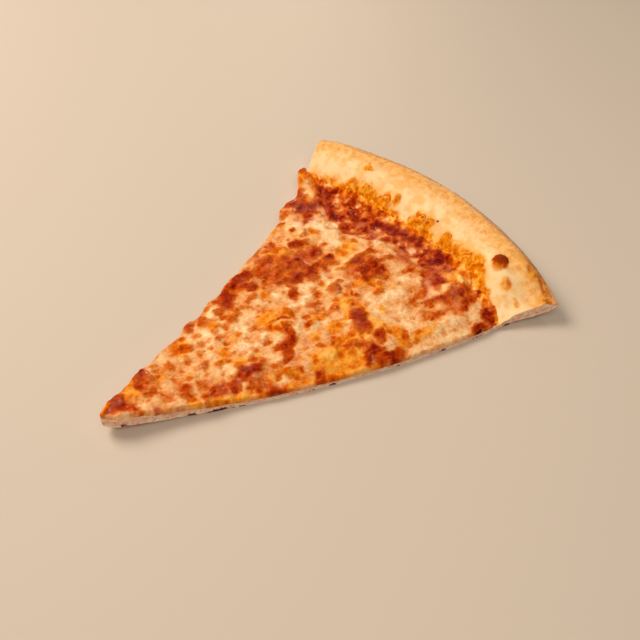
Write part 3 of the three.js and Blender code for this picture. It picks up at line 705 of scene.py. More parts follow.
@dataclass(frozen=True)
class Topping:
    """The top's colouring and low relief at any place, shared by the cheese, the sauce and the crust."""

    blot_reach: float = 1.4
    stir: float = 1.3
    fine_stir: float = 0.5
    stirs_x: tuple[Cloud, Cloud] = (Cloud(5.0, 11.0, 2), Cloud(1.9, 12.0, 2))
    stirs_y: tuple[Cloud, Cloud] = (Cloud(5.0, 13.0, 2), Cloud(1.9, 14.0, 2))
    broad: Cloud = Cloud(13.0, 22.0, 2)
    curds: Cloud = Cloud(5.2, 23.0, 2, 0.5)
    fine: Cloud = Cloud(2.6, 21.0, 3, 0.6)
    freckles: Scatter = Scatter(7.0, 25.0)
    freckle_size: float = 0.36
    freckle_soft: float = 0.28
    freckle_broad: float = 0.2
    freckle_fine: float = 0.1
    melt_mean: float = 0.69
    melt_broad: float = 0.16
    melt_curds: float = 0.26
    melt_fine: float = 0.2
    melt_freckles: float = 0.34
    cream_cover: float = 0.52
    veil_and_sheen_cover: float = 0.12
    heats: tuple[tuple[Tone, float], ...] = ((Tone.OIL, 0.08), (Tone.RED, 0.34), (Tone.BROWN, 0.58))
    lump_span: Span = (0.2, 0.7)
    fringes: tuple[tuple[Tone, Fringe], ...] = (
        (Tone.VEIL, Fringe(0.5, Cloud(3.0, 31.0, 3), 0.1, 1.3)),
        (Tone.OIL, Fringe(0.5, Cloud(5.0, 32.0, 4, 0.7), 0.05, 1.0)),
        (Tone.RED, Fringe(0.45, Cloud(4.2, 33.0, 4, 0.75), 0.05, 1.0)),
        (Tone.BROWN, Fringe(0.3, Cloud(2.4, 34.0, 3, 0.7), 0.2, 0.9)),
        (Tone.CHAR, Fringe(0.3, Cloud(2.6, 21.0, 3, 0.6), 0.3, 0.7)),
    )
    red_wet: float = 0.7
    oil_wet: float = 0.3
    bead_places: Scatter = Scatter(3.2, 45.0)
    bead_size: float = 0.45
    bead_height: float = 0.35
    cream_rise: float = 0.2
    brown_rise: float = 0.75
    oil_rise: float = 0.2
    red_sink: float = 0.3
    folds: Cloud = Cloud(3.8, 43.0, 2, 0.5)
    fold_height: float = 0.4
    fold_sharpness: float = 2.6
    fold_stretch: float = 1.6
    grain: Cloud = Cloud(2.6, 41.0, 1)
    grain_height: float = 0.35
    curd_relief: Cloud = Cloud(5.2, 23.0, 2)
    curd_height: float = 0.7
    lump_height: float = 1.5

    def stirred(self, x: Array, y: Array) -> tuple[Array, Array]:
        """Places pushed about by noise, so that no outline stays an oval.

        Args:
            x: places along the slice.
            y: places across the slice.

        Returns:
            The pushed places.
        """
        (broad_x, fine_x), (broad_y, fine_y) = self.stirs_x, self.stirs_y
        return (x + self.stir * (broad_x(x, y) + self.fine_stir * fine_x(x, y)),
                y + self.stir * (broad_y(x, y) + self.fine_stir * fine_y(x, y)))

    def marks(self, tone: Tone, x: Array, y: Array) -> Array:
        """Strength of a tone's marks: where marks overlap, each covers its share of what is left bare.

        Args:
            tone: the tone.
            x: places along the slice.
            y: places across the slice.

        Returns:
            Strengths from 0 to 1.
        """
        bare = np.ones_like(x)
        for blot in MARKS[tone]:
            reach = self.blot_reach * max(blot.long, blot.wide)
            near = np.flatnonzero((np.abs(x - blot.x) < reach) & (np.abs(y - blot.y) < reach))
            bare[near] *= 1.0 - blot.cover(x[near], y[near])
        return 1.0 - bare

    def tones(self, x: Array, y: Array) -> dict[Tone, Array]:
        """How much of each tone shows at each place, from 0 to 1.

        Args:
            x: places along the slice, in millimetres.
            y: places across the slice, in millimetres.

        Returns:
            One array for each tone; CREAM is how pale the melt is, from browned at 0 to thick cream at 1.
        """
        wx, wy = self.stirred(x, y)
        marks = {tone: self.marks(tone, wx, wy) for tone in Tone}
        broad, curds, fine = self.broad(wx, wy), self.curds(wx, wy), self.fine(x, y)
        size = self.freckle_size + self.freckle_broad * broad + self.freckle_fine * fine
        spots = smoothstep(size - self.freckles(wx, wy), 0.0, self.freckle_soft)
        melt = self.melt_mean + self.melt_broad * broad + self.melt_curds * curds + self.melt_fine * fine
        melt = melt - self.melt_freckles * spots
        # The veil's marks, partly painted glints, pale the melt as well as the cream's marks do.
        pale = self.cream_cover * marks[Tone.CREAM] + self.veil_and_sheen_cover * marks[Tone.VEIL]
        melt = lerp(np.clip(melt, 0.0, 1.0), 1.0, pale)
        for tone, heat in self.heats:
            melt = melt * (1.0 - heat * marks[tone])
        covers = {tone: fringe.cover(marks[tone], x, y) for tone, fringe in self.fringes}
        return covers | {Tone.CREAM: melt, Tone.LUMP: smoothstep(marks[Tone.LUMP], *self.lump_span)}

    def wetness(self, x: Array, y: Array) -> Array:
        """How wet the melted top is: most on the browned and red marks, less on the oil.

        Args:
            x: places along the slice.
            y: places across the slice.

        Returns:
            Wetness from 0 to 1.
        """
        wx, wy = self.stirred(x, y)
        brown, oil, red = (self.marks(tone, wx, wy) for tone in (Tone.BROWN, Tone.OIL, Tone.RED))
        return np.clip(brown + self.red_wet * red + self.oil_wet * oil, 0.0, 1.0)

    def beads(self, x: Array, y: Array, wet: Array) -> Array:
        """Round beads of oil scattered over wet places, each 1 in its middle and 0 at its edge."""
        nearest = self.bead_places(*self.stirred(x, y))
        return wet * np.clip(1.0 - (nearest / self.bead_size) ** 2, 0.0, 1.0)

    def lift(self, x: Array, y: Array, tones: dict[Tone, Array]) -> Array:
        """Low relief of the melted top, in millimetres: curds stand, blisters puff up and bare places sink.

        Args:
            x: places along the slice, in millimetres.
            y: places across the slice, in millimetres.
            tones: how much of each tone shows there.

        Returns:
            Heights to add to the broad form.
        """
        wx, wy = self.stirred(x, y)
        brown, oil, red = (self.marks(tone, wx, wy) for tone in (Tone.BROWN, Tone.OIL, Tone.RED))
        folds = 1.0 - self.fold_sharpness * np.abs(self.folds(wx, self.fold_stretch * wy))
        grain = self.grain_height * self.grain(x, y) + self.curd_height * self.curd_relief(wx, wy)
        wet = self.wetness(x, y)
        lump = self.lump_height * self.marks(Tone.LUMP, x, y)
        beads = self.bead_height * self.beads(x, y, wet)
        raised = self.cream_rise * tones[Tone.CREAM] + self.brown_rise * brown + self.oil_rise * oil
        return raised - self.red_sink * red + self.fold_height * wet * folds + beads + grain + lump


# ---------------------------------------------------------------------------------------------------
# Making meshes from rows of points


@dataclass
class Skin:
    """The points, triangles and fields of one closed piece, gathered part by part in millimetres."""

    points: list[Array] = field(default_factory=list)
    faces: list[Array] = field(default_factory=list)
    fields: list[dict[str, Array]] = field(default_factory=list)
    count: int = 0
    merging: float = 0.0005

    def add(self, points: Array, faces: Array, fields: dict[str, Array]) -> None:
        """Adds one part.

        Args:
            points: its points, one row each.
            faces: its triangles, as rows of three point numbers that count from 0.
            fields: named values, one for each point.
        """
        self.points.append(points)
        self.faces.append(faces + self.count)
        self.fields.append(fields)
        self.count += len(points)

    def closed(self) -> tuple[Array, Array, dict[str, Array]]:
        """Merges points that share a place, so that the seams close, and drops triangles without an area.

        Returns:
            Points, triangles and fields of the whole piece.
        """
        points, faces = np.concatenate(self.points), np.concatenate(self.faces)
        names = sorted({name for part in self.fields for name in part})
        fields = {name: np.concatenate([part.get(name, np.zeros(len(where))) for part, where in
                                        zip(self.fields, self.points)]) for name in names}
        places = np.round(points / self.merging).astype(np.int64)
        _, first, merged = np.unique(places, axis=0, return_index=True, return_inverse=True)
        faces = merged.reshape(-1)[faces]
        whole = (faces[:, 0] != faces[:, 1]) & (faces[:, 1] != faces[:, 2]) & (faces[:, 2] != faces[:, 0])
        return points[first], faces[whole], {name: values[first] for name, values in fields.items()}


def zipped(low: Array, high: Array, low_start: int, high_start: int) -> Array:
    """Triangles between two rows: each step of a row joins the other row's point beside its middle.

    Args:
        low: the first row's places along the row, in order.
        high: the second row's places.
        low_start: number of the first row's first point.
        high_start: number of the second row's first point.

    Returns:
        Triangles that face up where the second row lies further out.
    """
    low_middles, high_middles = (low[1:] + low[:-1]) / 2, (high[1:] + high[:-1]) / 2
    low_apex = high_start + np.searchsorted(high_middles, low_middles, side="left")
    high_apex = low_start + np.searchsorted(low_middles, high_middles, side="right")
    a, b = low_start + np.arange(len(low_middles)), high_start + np.arange(len(high_middles))
    return np.concatenate([np.stack([a, low_apex, a + 1], 1), np.stack([b, b + 1, high_apex], 1)])


def grid_faces(rows: int, columns: int, flip: bool) -> Array:
    """Triangles of a grid whose points are numbered row by row.

    Args:
        rows: points along the first way.
        columns: points along the second way.
        flip: whether the triangles face the other way.

    Returns:
        Triangles as rows of three point numbers.
    """
    corner = (np.arange(rows - 1)[:, None] * columns + np.arange(columns - 1)).reshape(-1)
    faces = np.concatenate([np.stack([corner, corner + 1, corner + columns], 1),
                            np.stack([corner + 1, corner + columns + 1, corner + columns], 1)])
    return faces[:, ::-1] if flip else faces


@dataclass
class Layer:
    """One layer: an upper and a lower sheet of rows, joined by walls at the cuts and the edge."""

    form: SliceForm
    topping: Topping
    name: str
    node: str
    slot: str
    inset: float = 0.0
    pitch: float = 0.45
    hidden_pitch: float = 6.0
    least_half: float = 0.05
    near_cuts: tuple[float, ...] = (0.0, 0.5, 1.1, 2.0, 3.4, 5.5)
    near_share: float = 0.8
    nose_steps: tuple[float, ...] = (0.0, 0.1, 0.3)
    edge_radius: float = 190.0
    wall_levels: int = 5
    edge_levels: int = 2
    ragged_cloud: Cloud = Cloud(3.2, 61.0, 3, 0.7)
    ragged_apart: float = 40.0
    ragged_depth: float = 0.6
    ragged_limits: Span = (-0.5, 1.2)
    ragged_reach: float = 2.5
    ragged_nose: Span = (0.3, 3.0)
    carve_round: float = 6.0
    pore_depth: float = 0.8

    def along(self, across: Array) -> Array:
        """Rough place along the outer edge, for the noise and the bumps there."""
        return self.edge_radius * across

    def reach(self, across: Array) -> Array:
        """Radius of the layer's outer edge."""
        return np.full_like(across, self.form.pie_radius)

    def nose(self) -> Array:
        """Radii of the first rows, close together at the very tip."""
        return np.array([self.form.tip_radius + step for step in self.nose_steps])

    def stations(self) -> Array:
        """Nominal radii of the rows."""
        raise NotImplementedError

    def radius(self, nominal: Array, across: Array) -> Array:
        """Real radius of a point in the row with a nominal radius."""
        return nominal

    def stretched(self, nominal: Array, across: Array, start: float, span: float) -> Array:
        """Radii that are as named up to the start and from there end at the layer's edge."""
        share = np.clip((nominal - start) / span, 0.0, 1.0)
        return np.minimum(nominal, start) + share * (self.reach(across) - start)

    def spacing(self, nominal: float, upper: bool) -> float:
        """Width between a row's points where it is seen, or 0 where it is hidden but near the cuts."""
        return self.pitch if upper else 0.0

    def columns(self, nominal: float, upper: bool) -> Array:
        """Shares across of a row's points: even where the row is seen, and only near the cuts elsewhere.

        Args:
            nominal: the row's nominal radius.
            upper: whether it is a row of the upper sheet.

        Returns:
            Shares from -1 to 1, or a single 0 where the row is a point.
        """
        half = float(self.form.half_girth(np.array([nominal]))[0][0]) - self.inset
        if half < self.least_half:
            return np.zeros(1)
        spacing = self.spacing(nominal, upper)
        if spacing:
            return np.linspace(-1.0, 1.0, max(3, round(2.0 * half / spacing)))
        near = np.array(self.near_cuts)
        near = near[near < self.near_share * half] / half
        count = max(2, round(2.0 * half / self.hidden_pitch))
        middle = np.linspace(-1.0 + near[-1], 1.0 - near[-1], count)
        return np.unique(np.concatenate([-1.0 + near, middle, 1.0 - near]).round(9))

    def ragged(self, radius: Array, across: Array) -> Array:
        """How far the cut edges draw in or stand out along y: noise along each cut that fades beside it.

        Args:
            radius: distances from the pie's centre.
            across: shares from -1 at the front cut to 1 at the back cut.

        Returns:
            Distances along y.
        """
        half, _ = self.form.half_girth(radius)
        side = np.sign(across)
        inward = self.ragged_depth * self.ragged_cloud(radius, self.ragged_apart * side)
        near = 1.0 - smoothstep(self.form.to_cut(radius, across), 0.0, self.ragged_reach)
        return -side * np.clip(inward, *self.ragged_limits) * near * smoothstep(half, *self.ragged_nose)

    def place(self, radius: Array, across: Array) -> tuple[Array, Array]:
        """Place on the table of the layer's points."""
        return self.form.plan(radius, across, self.inset)

    def top(self, radius: Array, across: Array, x: Array, y: Array) -> Array:
        """Height of the upper sheet."""
        raise NotImplementedError

    def bottom(self, radius: Array, across: Array, x: Array, y: Array) -> Array:
        """Height of the lower sheet."""
        raise NotImplementedError

    def dressed(self, radius: Array, across: Array, x: Array, y: Array, level: Array) -> dict[str, Array]:
        """Named fields that the finish reads; the level is 0 on the upper sheet and 1 below."""
        raise NotImplementedError

    def carved(self, x: Array, z: Array, side: float) -> Array:
        """How deep the wall at a cut is carved, in millimetres."""
        return np.zeros_like(x)

    def add_sheet(self, skin: Skin, upper: bool) -> None:
        """Adds the upper or the lower sheet to the skin.

        Args:
            skin: the piece's skin.
            upper: whether it is the upper sheet.
        """
        stations = self.stations()
        rows = [self.columns(float(nominal), upper) for nominal in stations]
        rows[-1] = self.columns(float(stations[-1]), True)
        starts = np.concatenate([[0], np.cumsum([len(row) for row in rows])])
        across = np.concatenate(rows)
        radius = self.radius(np.repeat(stations, [len(row) for row in rows]), across)
        x, y = self.place(radius, across)
        z = (self.top if upper else self.bottom)(radius, across, x, y)
        faces = np.concatenate([zipped(rows[k], rows[k + 1], int(starts[k]), int(starts[k + 1]))
                                for k in range(len(rows) - 1)])
        points = np.stack([x, y + self.ragged(radius, across), z], 1)
        level = np.full_like(x, 0.0 if upper else 1.0)
        skin.add(points, faces if upper else faces[:, ::-1], self.dressed(radius, across, x, y, level))

    def add_wall(self, skin: Skin, nominal: Array, across: Array, levels: int, flip: bool,
                 side: float) -> None:
        """Adds a wall between the sheets along a line of points.

        Args:
            skin: the piece's skin.
            nominal: nominal radii of the line's points.
            across: shares across of the line's points.
            levels: number of steps from top to bottom.
            flip: whether the wall faces the other way.
            side: -1 or 1 for a wall that is carved as a cut, 0 for none.
        """
        radius = self.radius(nominal, across)
        x, y = self.place(radius, across)
        top, bottom = self.top(radius, across, x, y), self.bottom(radius, across, x, y)
        level = np.linspace(0.0, 1.0, levels + 1)[None, :]
        z = lerp(top[:, None], bottom[:, None], level)
        spread = np.ones_like(z)
        wide_x, wide_y = x[:, None] * spread, (y + self.ragged(radius, across))[:, None] * spread
        inner = np.minimum(1.0, self.carve_round * level * (1.0 - level))
        depth = inner * self.carved(wide_x, z, side)
        points = np.stack([wide_x, wide_y - side * depth, z], 2).reshape(-1, 3)
        flat = [(values[:, None] * spread).reshape(-1) for values in (radius, across, x, y)]
        fields = self.dressed(*flat, (level * spread).reshape(-1))
        fields["cut"] = np.full(len(points), abs(side))
        # How deep a place lies in a carved pore, which the crumb's finish darkens as painted shade.
        fields["pore"] = (depth / self.pore_depth).reshape(-1)
        skin.add(points, grid_faces(len(nominal), levels + 1, flip), fields)

    def build(self) -> bpy.types.Object:
        """Builds the piece, placed in the finished frame in metres, with its fields as attributes.

        Returns:
            The piece.
        """
        skin, stations = Skin(), self.stations()
        self.add_sheet(skin, True)
        self.add_sheet(skin, False)
        self.add_wall(skin, stations, np.full_like(stations, -1.0), self.wall_levels, False, -1.0)
        self.add_wall(skin, stations, np.full_like(stations, 1.0), self.wall_levels, True, 1.0)
        last = self.columns(float(stations[-1]), True)
        self.add_wall(skin, np.full_like(last, stations[-1]), last, self.edge_levels, False, 0.0)
        points, faces, fields = skin.closed()
        centre_x, centre_y = self.form.centre()
        points = (points - np.array([centre_x, centre_y, 0.0])) * MM
        lowest, highest = (np.array(corner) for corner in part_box("crust"))
        points = np.clip(points, lowest, highest)
        mesh = bpy.data.meshes.new(self.name)
        mesh.from_pydata(points, [], faces)
        for name, values in fields.items():
            mesh.attributes.new(name, "FLOAT", "POINT").data.foreach_set("value", values.astype(np.float32))
        mesh.shade_smooth()
        piece = bpy.data.objects.new(self.name, mesh)
        bpy.context.scene.collection.objects.link(piece)
        log.info("%s: %d points, %d triangles", self.name, len(points), len(faces))
        return piece

    def settle(self, piece: bpy.types.Object, material: bpy.types.Material) -> None:
        """Gives the piece its finish, hangs it on the root body and hides the imported part that it
        replaces.

        Args:
            piece: the piece.
            material: its finish.
        """
        piece.data.materials.append(material)
        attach(piece, "root")
        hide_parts(self.node)


def rounded(distance: Array, width: float) -> Array:
    """Quarter-round edge: 0 at the edge, 1 from the width inwards."""
    return np.sqrt(1.0 - (1.0 - np.clip(distance / width, 0.0, 1.0)) ** 2)


@dataclass
class CheeseLayer(Layer):
    """The melted cheese: lumps, curds and blisters, rounded at the cuts and at its edge before the rim."""

    inset: float = 0.25
    body_end: float = 165.0
    outer_span: float = 36.0
    first_step: float = 0.6
    edge_round: float = 1.0
    outer_round: float = 1.5
    cut_share: float = 0.5
    back_share: float = 0.85
    share_span: Span = (-0.2, 0.2)
    least: float = 0.5
    bulges: Rows = ((31, 0.6, 4), (52, 1.3, 7), (71, 2.4, 4), (90, 2.4, 6), (107, 2.6, 7), (124, 1.3, 6),
                    (168, 2.6, 4), (178, 1.6, 4), (203, 1.8, 3.5))
    tongue: tuple[float, float, float] = (-110.0, 10.0, 3.5)
    tongue_oil: float = 1.3
    corner_run: float = 2.0
    corner_run_span: Span = (0.88, 0.98)
    corner_oil_span: Span = (0.72, 0.84)
    wave: float = 2.2
    waves: Cloud = Cloud(6.0, 71.0, 4, 0.65)
    bridge: float = 0.4
    bridge_from: float = 186.0
    thin_share: float = 0.35
    thin_width: float = 8.0
    thin_wave: float = 3.0
    thin_waves: Cloud = Cloud(5.0, 76.0, 3)
    film_red: float = 0.75
    sink: float = 0.15
    skirt_span: Span = (0.45, 1.0)
    skin_wave: float = 9.0
    skin_waves: Cloud = Cloud(5.0, 78.0, 2)
    skin_span: Span = (16.0, 42.0)

    def reach(self, across: Array) -> Array:
        """Radius of the cheese's edge, with small waves and tongues.

        Args:
            across: shares from -1 at the front cut to 1 at the back cut.

        Returns:
            Radii.
        """
        along = self.along(across)
        at, width, out = self.tongue
        run = out * self.form.bump(np.abs(along - at), width)
        run = run + self.corner_run * smoothstep(across, *self.corner_run_span)
        return self.form.cheese_reach(across) + self.wave * self.waves(along, 0.0 * along) + run

    def stations(self) -> Array:
        """Nominal radii of the rows, closer at the very tip.

        Returns:
            Radii.
        """
        body = np.arange(self.form.tip_radius + self.first_step, self.body_end, self.pitch)
        count = round(self.outer_span / self.pitch)
        outer = np.linspace(self.body_end, self.body_end + self.outer_span, count)
        return np.concatenate([self.nose(), body, outer])

    def radius(self, nominal: Array, across: Array) -> Array:
        """Real radius: as named on the body, then stretched to end at the edge."""
        return self.stretched(nominal, across, self.body_end, self.outer_span)

    def place(self, radius: Array, across: Array) -> tuple[Array, Array]:
        """Place on the table, run out past the back cut where the lists say."""
        bulge = sum(out * self.form.bump(np.abs(radius - at), width) for at, out, width in self.bulges)
        return self.form.plan(radius, across, self.inset, self.form.jut(radius) + bulge)

    def to_edge(self, radius: Array, across: Array) -> Array:
        """Distance to the nearer side of the cheese."""
        half, _ = self.form.half_girth(radius)
        return (half - self.inset) * (1.0 - np.abs(across))

    def floor(self, radius: Array, across: Array, x: Array, y: Array) -> Array:
        """Height of the sauce's upper side."""
        dough = self.form.belly(x) + self.form.dough_height(radius, across, x, y)
        return dough + self.form.sauce_height(radius, across)

    def top(self, radius: Array, across: Array, x: Array, y: Array) -> Array:
        """The broad form and the low relief, brought down in a round at every edge.

        Args:
            radius: distances from the pie's centre.
            across: shares from -1 at the front cut to 1 at the back cut.
            x: places along the slice.
            y: places across the slice.

        Returns:
            Heights.
        """
        edge = np.minimum(rounded(self.to_edge(radius, across), self.edge_round),
                          rounded(self.reach(across) - radius, self.outer_round * self.edge_round))
        lift = self.topping.lift(x, y, self.topping.tones(x, y)) * self.form.pressed(radius, across)
        corner = self.form.corner(across)
        bridge = self.bridge * corner * smoothstep(radius, self.bridge_from, self.form.rim_foot)
        thick = 2 * self.form.gap + bridge + self.form.cheese_height(radius, across, x, y) + lift
        thin = lerp(1.0, self.thin_share, self.thinned(radius, across, x, y) * (1.0 - corner))
        share = lerp(self.cut_share, self.back_share, smoothstep(across, *self.share_span))
        coat = np.maximum(thick, self.least) * thin * lerp(share, 1.0, edge)
        return self.floor(radius, across, x, y) + coat

    def thinned(self, radius: Array, across: Array, x: Array, y: Array) -> Array:
        """How thin the cheese has run before its edge: 1 at the edge, 0 from the thin width inwards."""
        inward = self.reach(across) - radius + self.thin_wave * self.thin_waves(x, y)
        return 1.0 - smoothstep(inward, 0.0, self.thin_width)

    def bottom(self, radius: Array, across: Array, x: Array, y: Array) -> Array:
        """A little below the sauce's upper side, so that no gap shows, and down to the dough at the cuts."""
        skirt = 1.0 - smoothstep(self.to_edge(radius, across), *self.skirt_span)
        return self.floor(radius, across, x, y) - self.sink - skirt * self.form.sauce_height(radius, across)

    def dressed(self, radius: Array, across: Array, x: Array, y: Array, level: Array) -> dict[str, Array]:
        """The topping's tones, how far down the cheese's own cut a place is, and the beads of oil.

        Args:
            radius: distances from the pie's centre.
            across: shares from -1 at the front cut to 1 at the back cut.
            x: places along the slice.
            y: places across the slice.
            level: 0 on the upper sheet, 1 on the lower one, and between them on the walls.

        Returns:
            The fields by name.
        """
        skin = smoothstep(radius + self.skin_wave * self.skin_waves(x, y), *self.skin_span)
        tones = self.topping.tones(x, y)
        thin = self.thinned(radius, across, x, y) * (1.0 - self.topping.marks(Tone.CREAM, x, y))
        at, width, _ = self.tongue
        beside = self.form.bump(np.abs(self.along(across) - at), self.tongue_oil * width)
        oily = np.maximum(smoothstep(across, *self.corner_oil_span), beside)
        tones[Tone.RED] = np.maximum(tones[Tone.RED], self.film_red * thin * (1.0 - oily))
        tones[Tone.OIL] = np.maximum(tones[Tone.OIL], thin * oily)
        bead = self.topping.beads(x, y, self.topping.wetness(x, y))
        own = {"skirt": level * (1.0 - skin), "bead": bead}
        return {tone.value: cover for tone, cover in tones.items()} | own


@dataclass
class SauceLayer(Layer):
    """The tomato sauce: a thin pulpy coat that shows bare between the cheese and the rim."""

    inset: float = 0.9
    bare_from: float = 170.0
    hidden_step: float = 0.8
    pulp: float = 0.5
    pulps: Cloud = Cloud(3.2, 73.0, 2, 0.5)
    broad_pulp: float = 0.7
    broad_pulps: Cloud = Cloud(7.0, 74.0, 2)
    pulp_span: Span = (168.0, 174.0)
    least: float = 0.15
    sink: float = 0.15
    thin_out: Span = (-1.0, 7.0)
    dive: float = 0.3
    dive_width: float = 2.0
    spread: float = 1.0
    wave: float = 0.9
    waves: Cloud = Cloud(5.0, 72.0, 3)
    runs: Rows = ((107, 25, 2.6), (-84, 36, 2.6), (-170, 14, 2.6))
    oil_wave: float = 4.5
    oil_waves: Cloud = Cloud(5.0, 75.0, 3, 0.7)
    oil_span: Span = (-6.0, -1.8)
    oil_over_red: float = 0.9
    red_mean: float = 0.66
    reds: Cloud = Cloud(3.4, 77.0, 3, 0.7)
    dark_share: float = 0.68
    curd_share: float = 1.1
    shade: float = 0.6
    shades: Cloud = Cloud(3.6, 97.0, 3, 0.7)
    wall_levels: int = 2
    crust: "CrustLayer | None" = None

    def reach(self, across: Array) -> Array:
        """Radius of the sauce's edge, with small waves.

        Args:
            across: shares from -1 at the front cut to 1 at the back cut.

        Returns:
            Radii.
        """
        along = self.along(across)
        run = sum(out * self.form.bump(np.abs(along - at), width) for at, width, out in self.runs)
        return self.form.sauce_reach(across) + self.spread + self.wave * self.waves(along, 0.0 * along) + run

    def stations(self) -> Array:
        """Nominal radii of the rows: coarse below the cheese, fine where the sauce is bare.

        Returns:
            Radii.
        """
        end = self.form.sauce_edge
        hidden = np.arange(self.form.tip_radius + self.hidden_step, self.bare_from, self.hidden_step)
        bare = np.linspace(self.bare_from, end, round((end - self.bare_from) / self.pitch))
        return np.concatenate([self.nose(), hidden, bare])

    def radius(self, nominal: Array, across: Array) -> Array:
        """Real radius: as named on the body, then stretched to end at the edge."""
        return self.stretched(nominal, across, self.bare_from, self.form.sauce_edge - self.bare_from)

    def spacing(self, nominal: float, upper: bool) -> float:
        """Fine only where the sauce is bare."""
        return self.pitch if upper and nominal >= self.bare_from else 0.0

    def top(self, radius: Array, across: Array, x: Array, y: Array) -> Array:
        """An even coat with pulp in it, thinned to its edge, where it dives below the dough's surface.

        Args:
            radius: distances from the pie's centre.
            across: shares from -1 at the front cut to 1 at the back cut.
            x: places along the slice.
            y: places across the slice.

        Returns:
            Heights.
        """
        inside = self.reach(across) - radius
        pulp = self.pulp * self.pulps(x, y) + self.broad_pulp * self.pulp * self.broad_pulps(x, y)
        pulp = pulp + self.topping.bead_height * self.topping.beads(x, y, np.ones_like(x))
        cover = self.form.gap + self.form.sauce_height(radius, across)
        cover = cover + pulp * smoothstep(radius, *self.pulp_span)
        cover = np.maximum(cover, self.least) * smoothstep(inside, *self.thin_out)
        dive = self.dive * (1.0 - smoothstep(inside, 0.0, self.dive_width))
        return self.crust.top(radius, across, x, y) + cover - dive

    def bottom(self, radius: Array, across: Array, x: Array, y: Array) -> Array:
        """A little below the dough's upper side."""
        return self.crust.top(radius, across, x, y) - self.sink - self.dive

    def dressed(self, radius: Array, across: Array, x: Array, y: Array, level: Array) -> dict[str, Array]:
        """The topping's tones on a red ground that turns to oil towards the rim, and the beads of oil.

        Args:
            radius: distances from the pie's centre.
            across: shares from -1 at the front cut to 1 at the back cut.
            x: places along the slice.
            y: places across the slice.
            level: not used.

        Returns:
            The fields by name.
        """
        tones = self.topping.tones(x, y)
        oily = smoothstep(radius - self.reach(across) + self.oil_wave * self.oil_waves(x, y), *self.oil_span)
        curds = self.topping.marks(Tone.CREAM, x, y)
        red = (self.red_mean + self.reds(x, y)) * (1.0 - curds)
        tones[Tone.RED] = np.maximum(tones[Tone.RED], red) * (1.0 - self.oil_over_red * oily)
        tones[Tone.OIL] = np.maximum(tones[Tone.OIL], oily)
        ground = tones[Tone.CREAM] * lerp(lerp(self.dark_share, 1.0, oily), self.curd_share, curds)
        tones[Tone.CREAM] = np.clip(ground + self.shade * self.shades(x, y), 0.0, 1.0)
        bead = self.topping.beads(x, y, np.ones_like(x))
        return {tone.value: cover for tone, cover in tones.items()} | {"bead": bead}


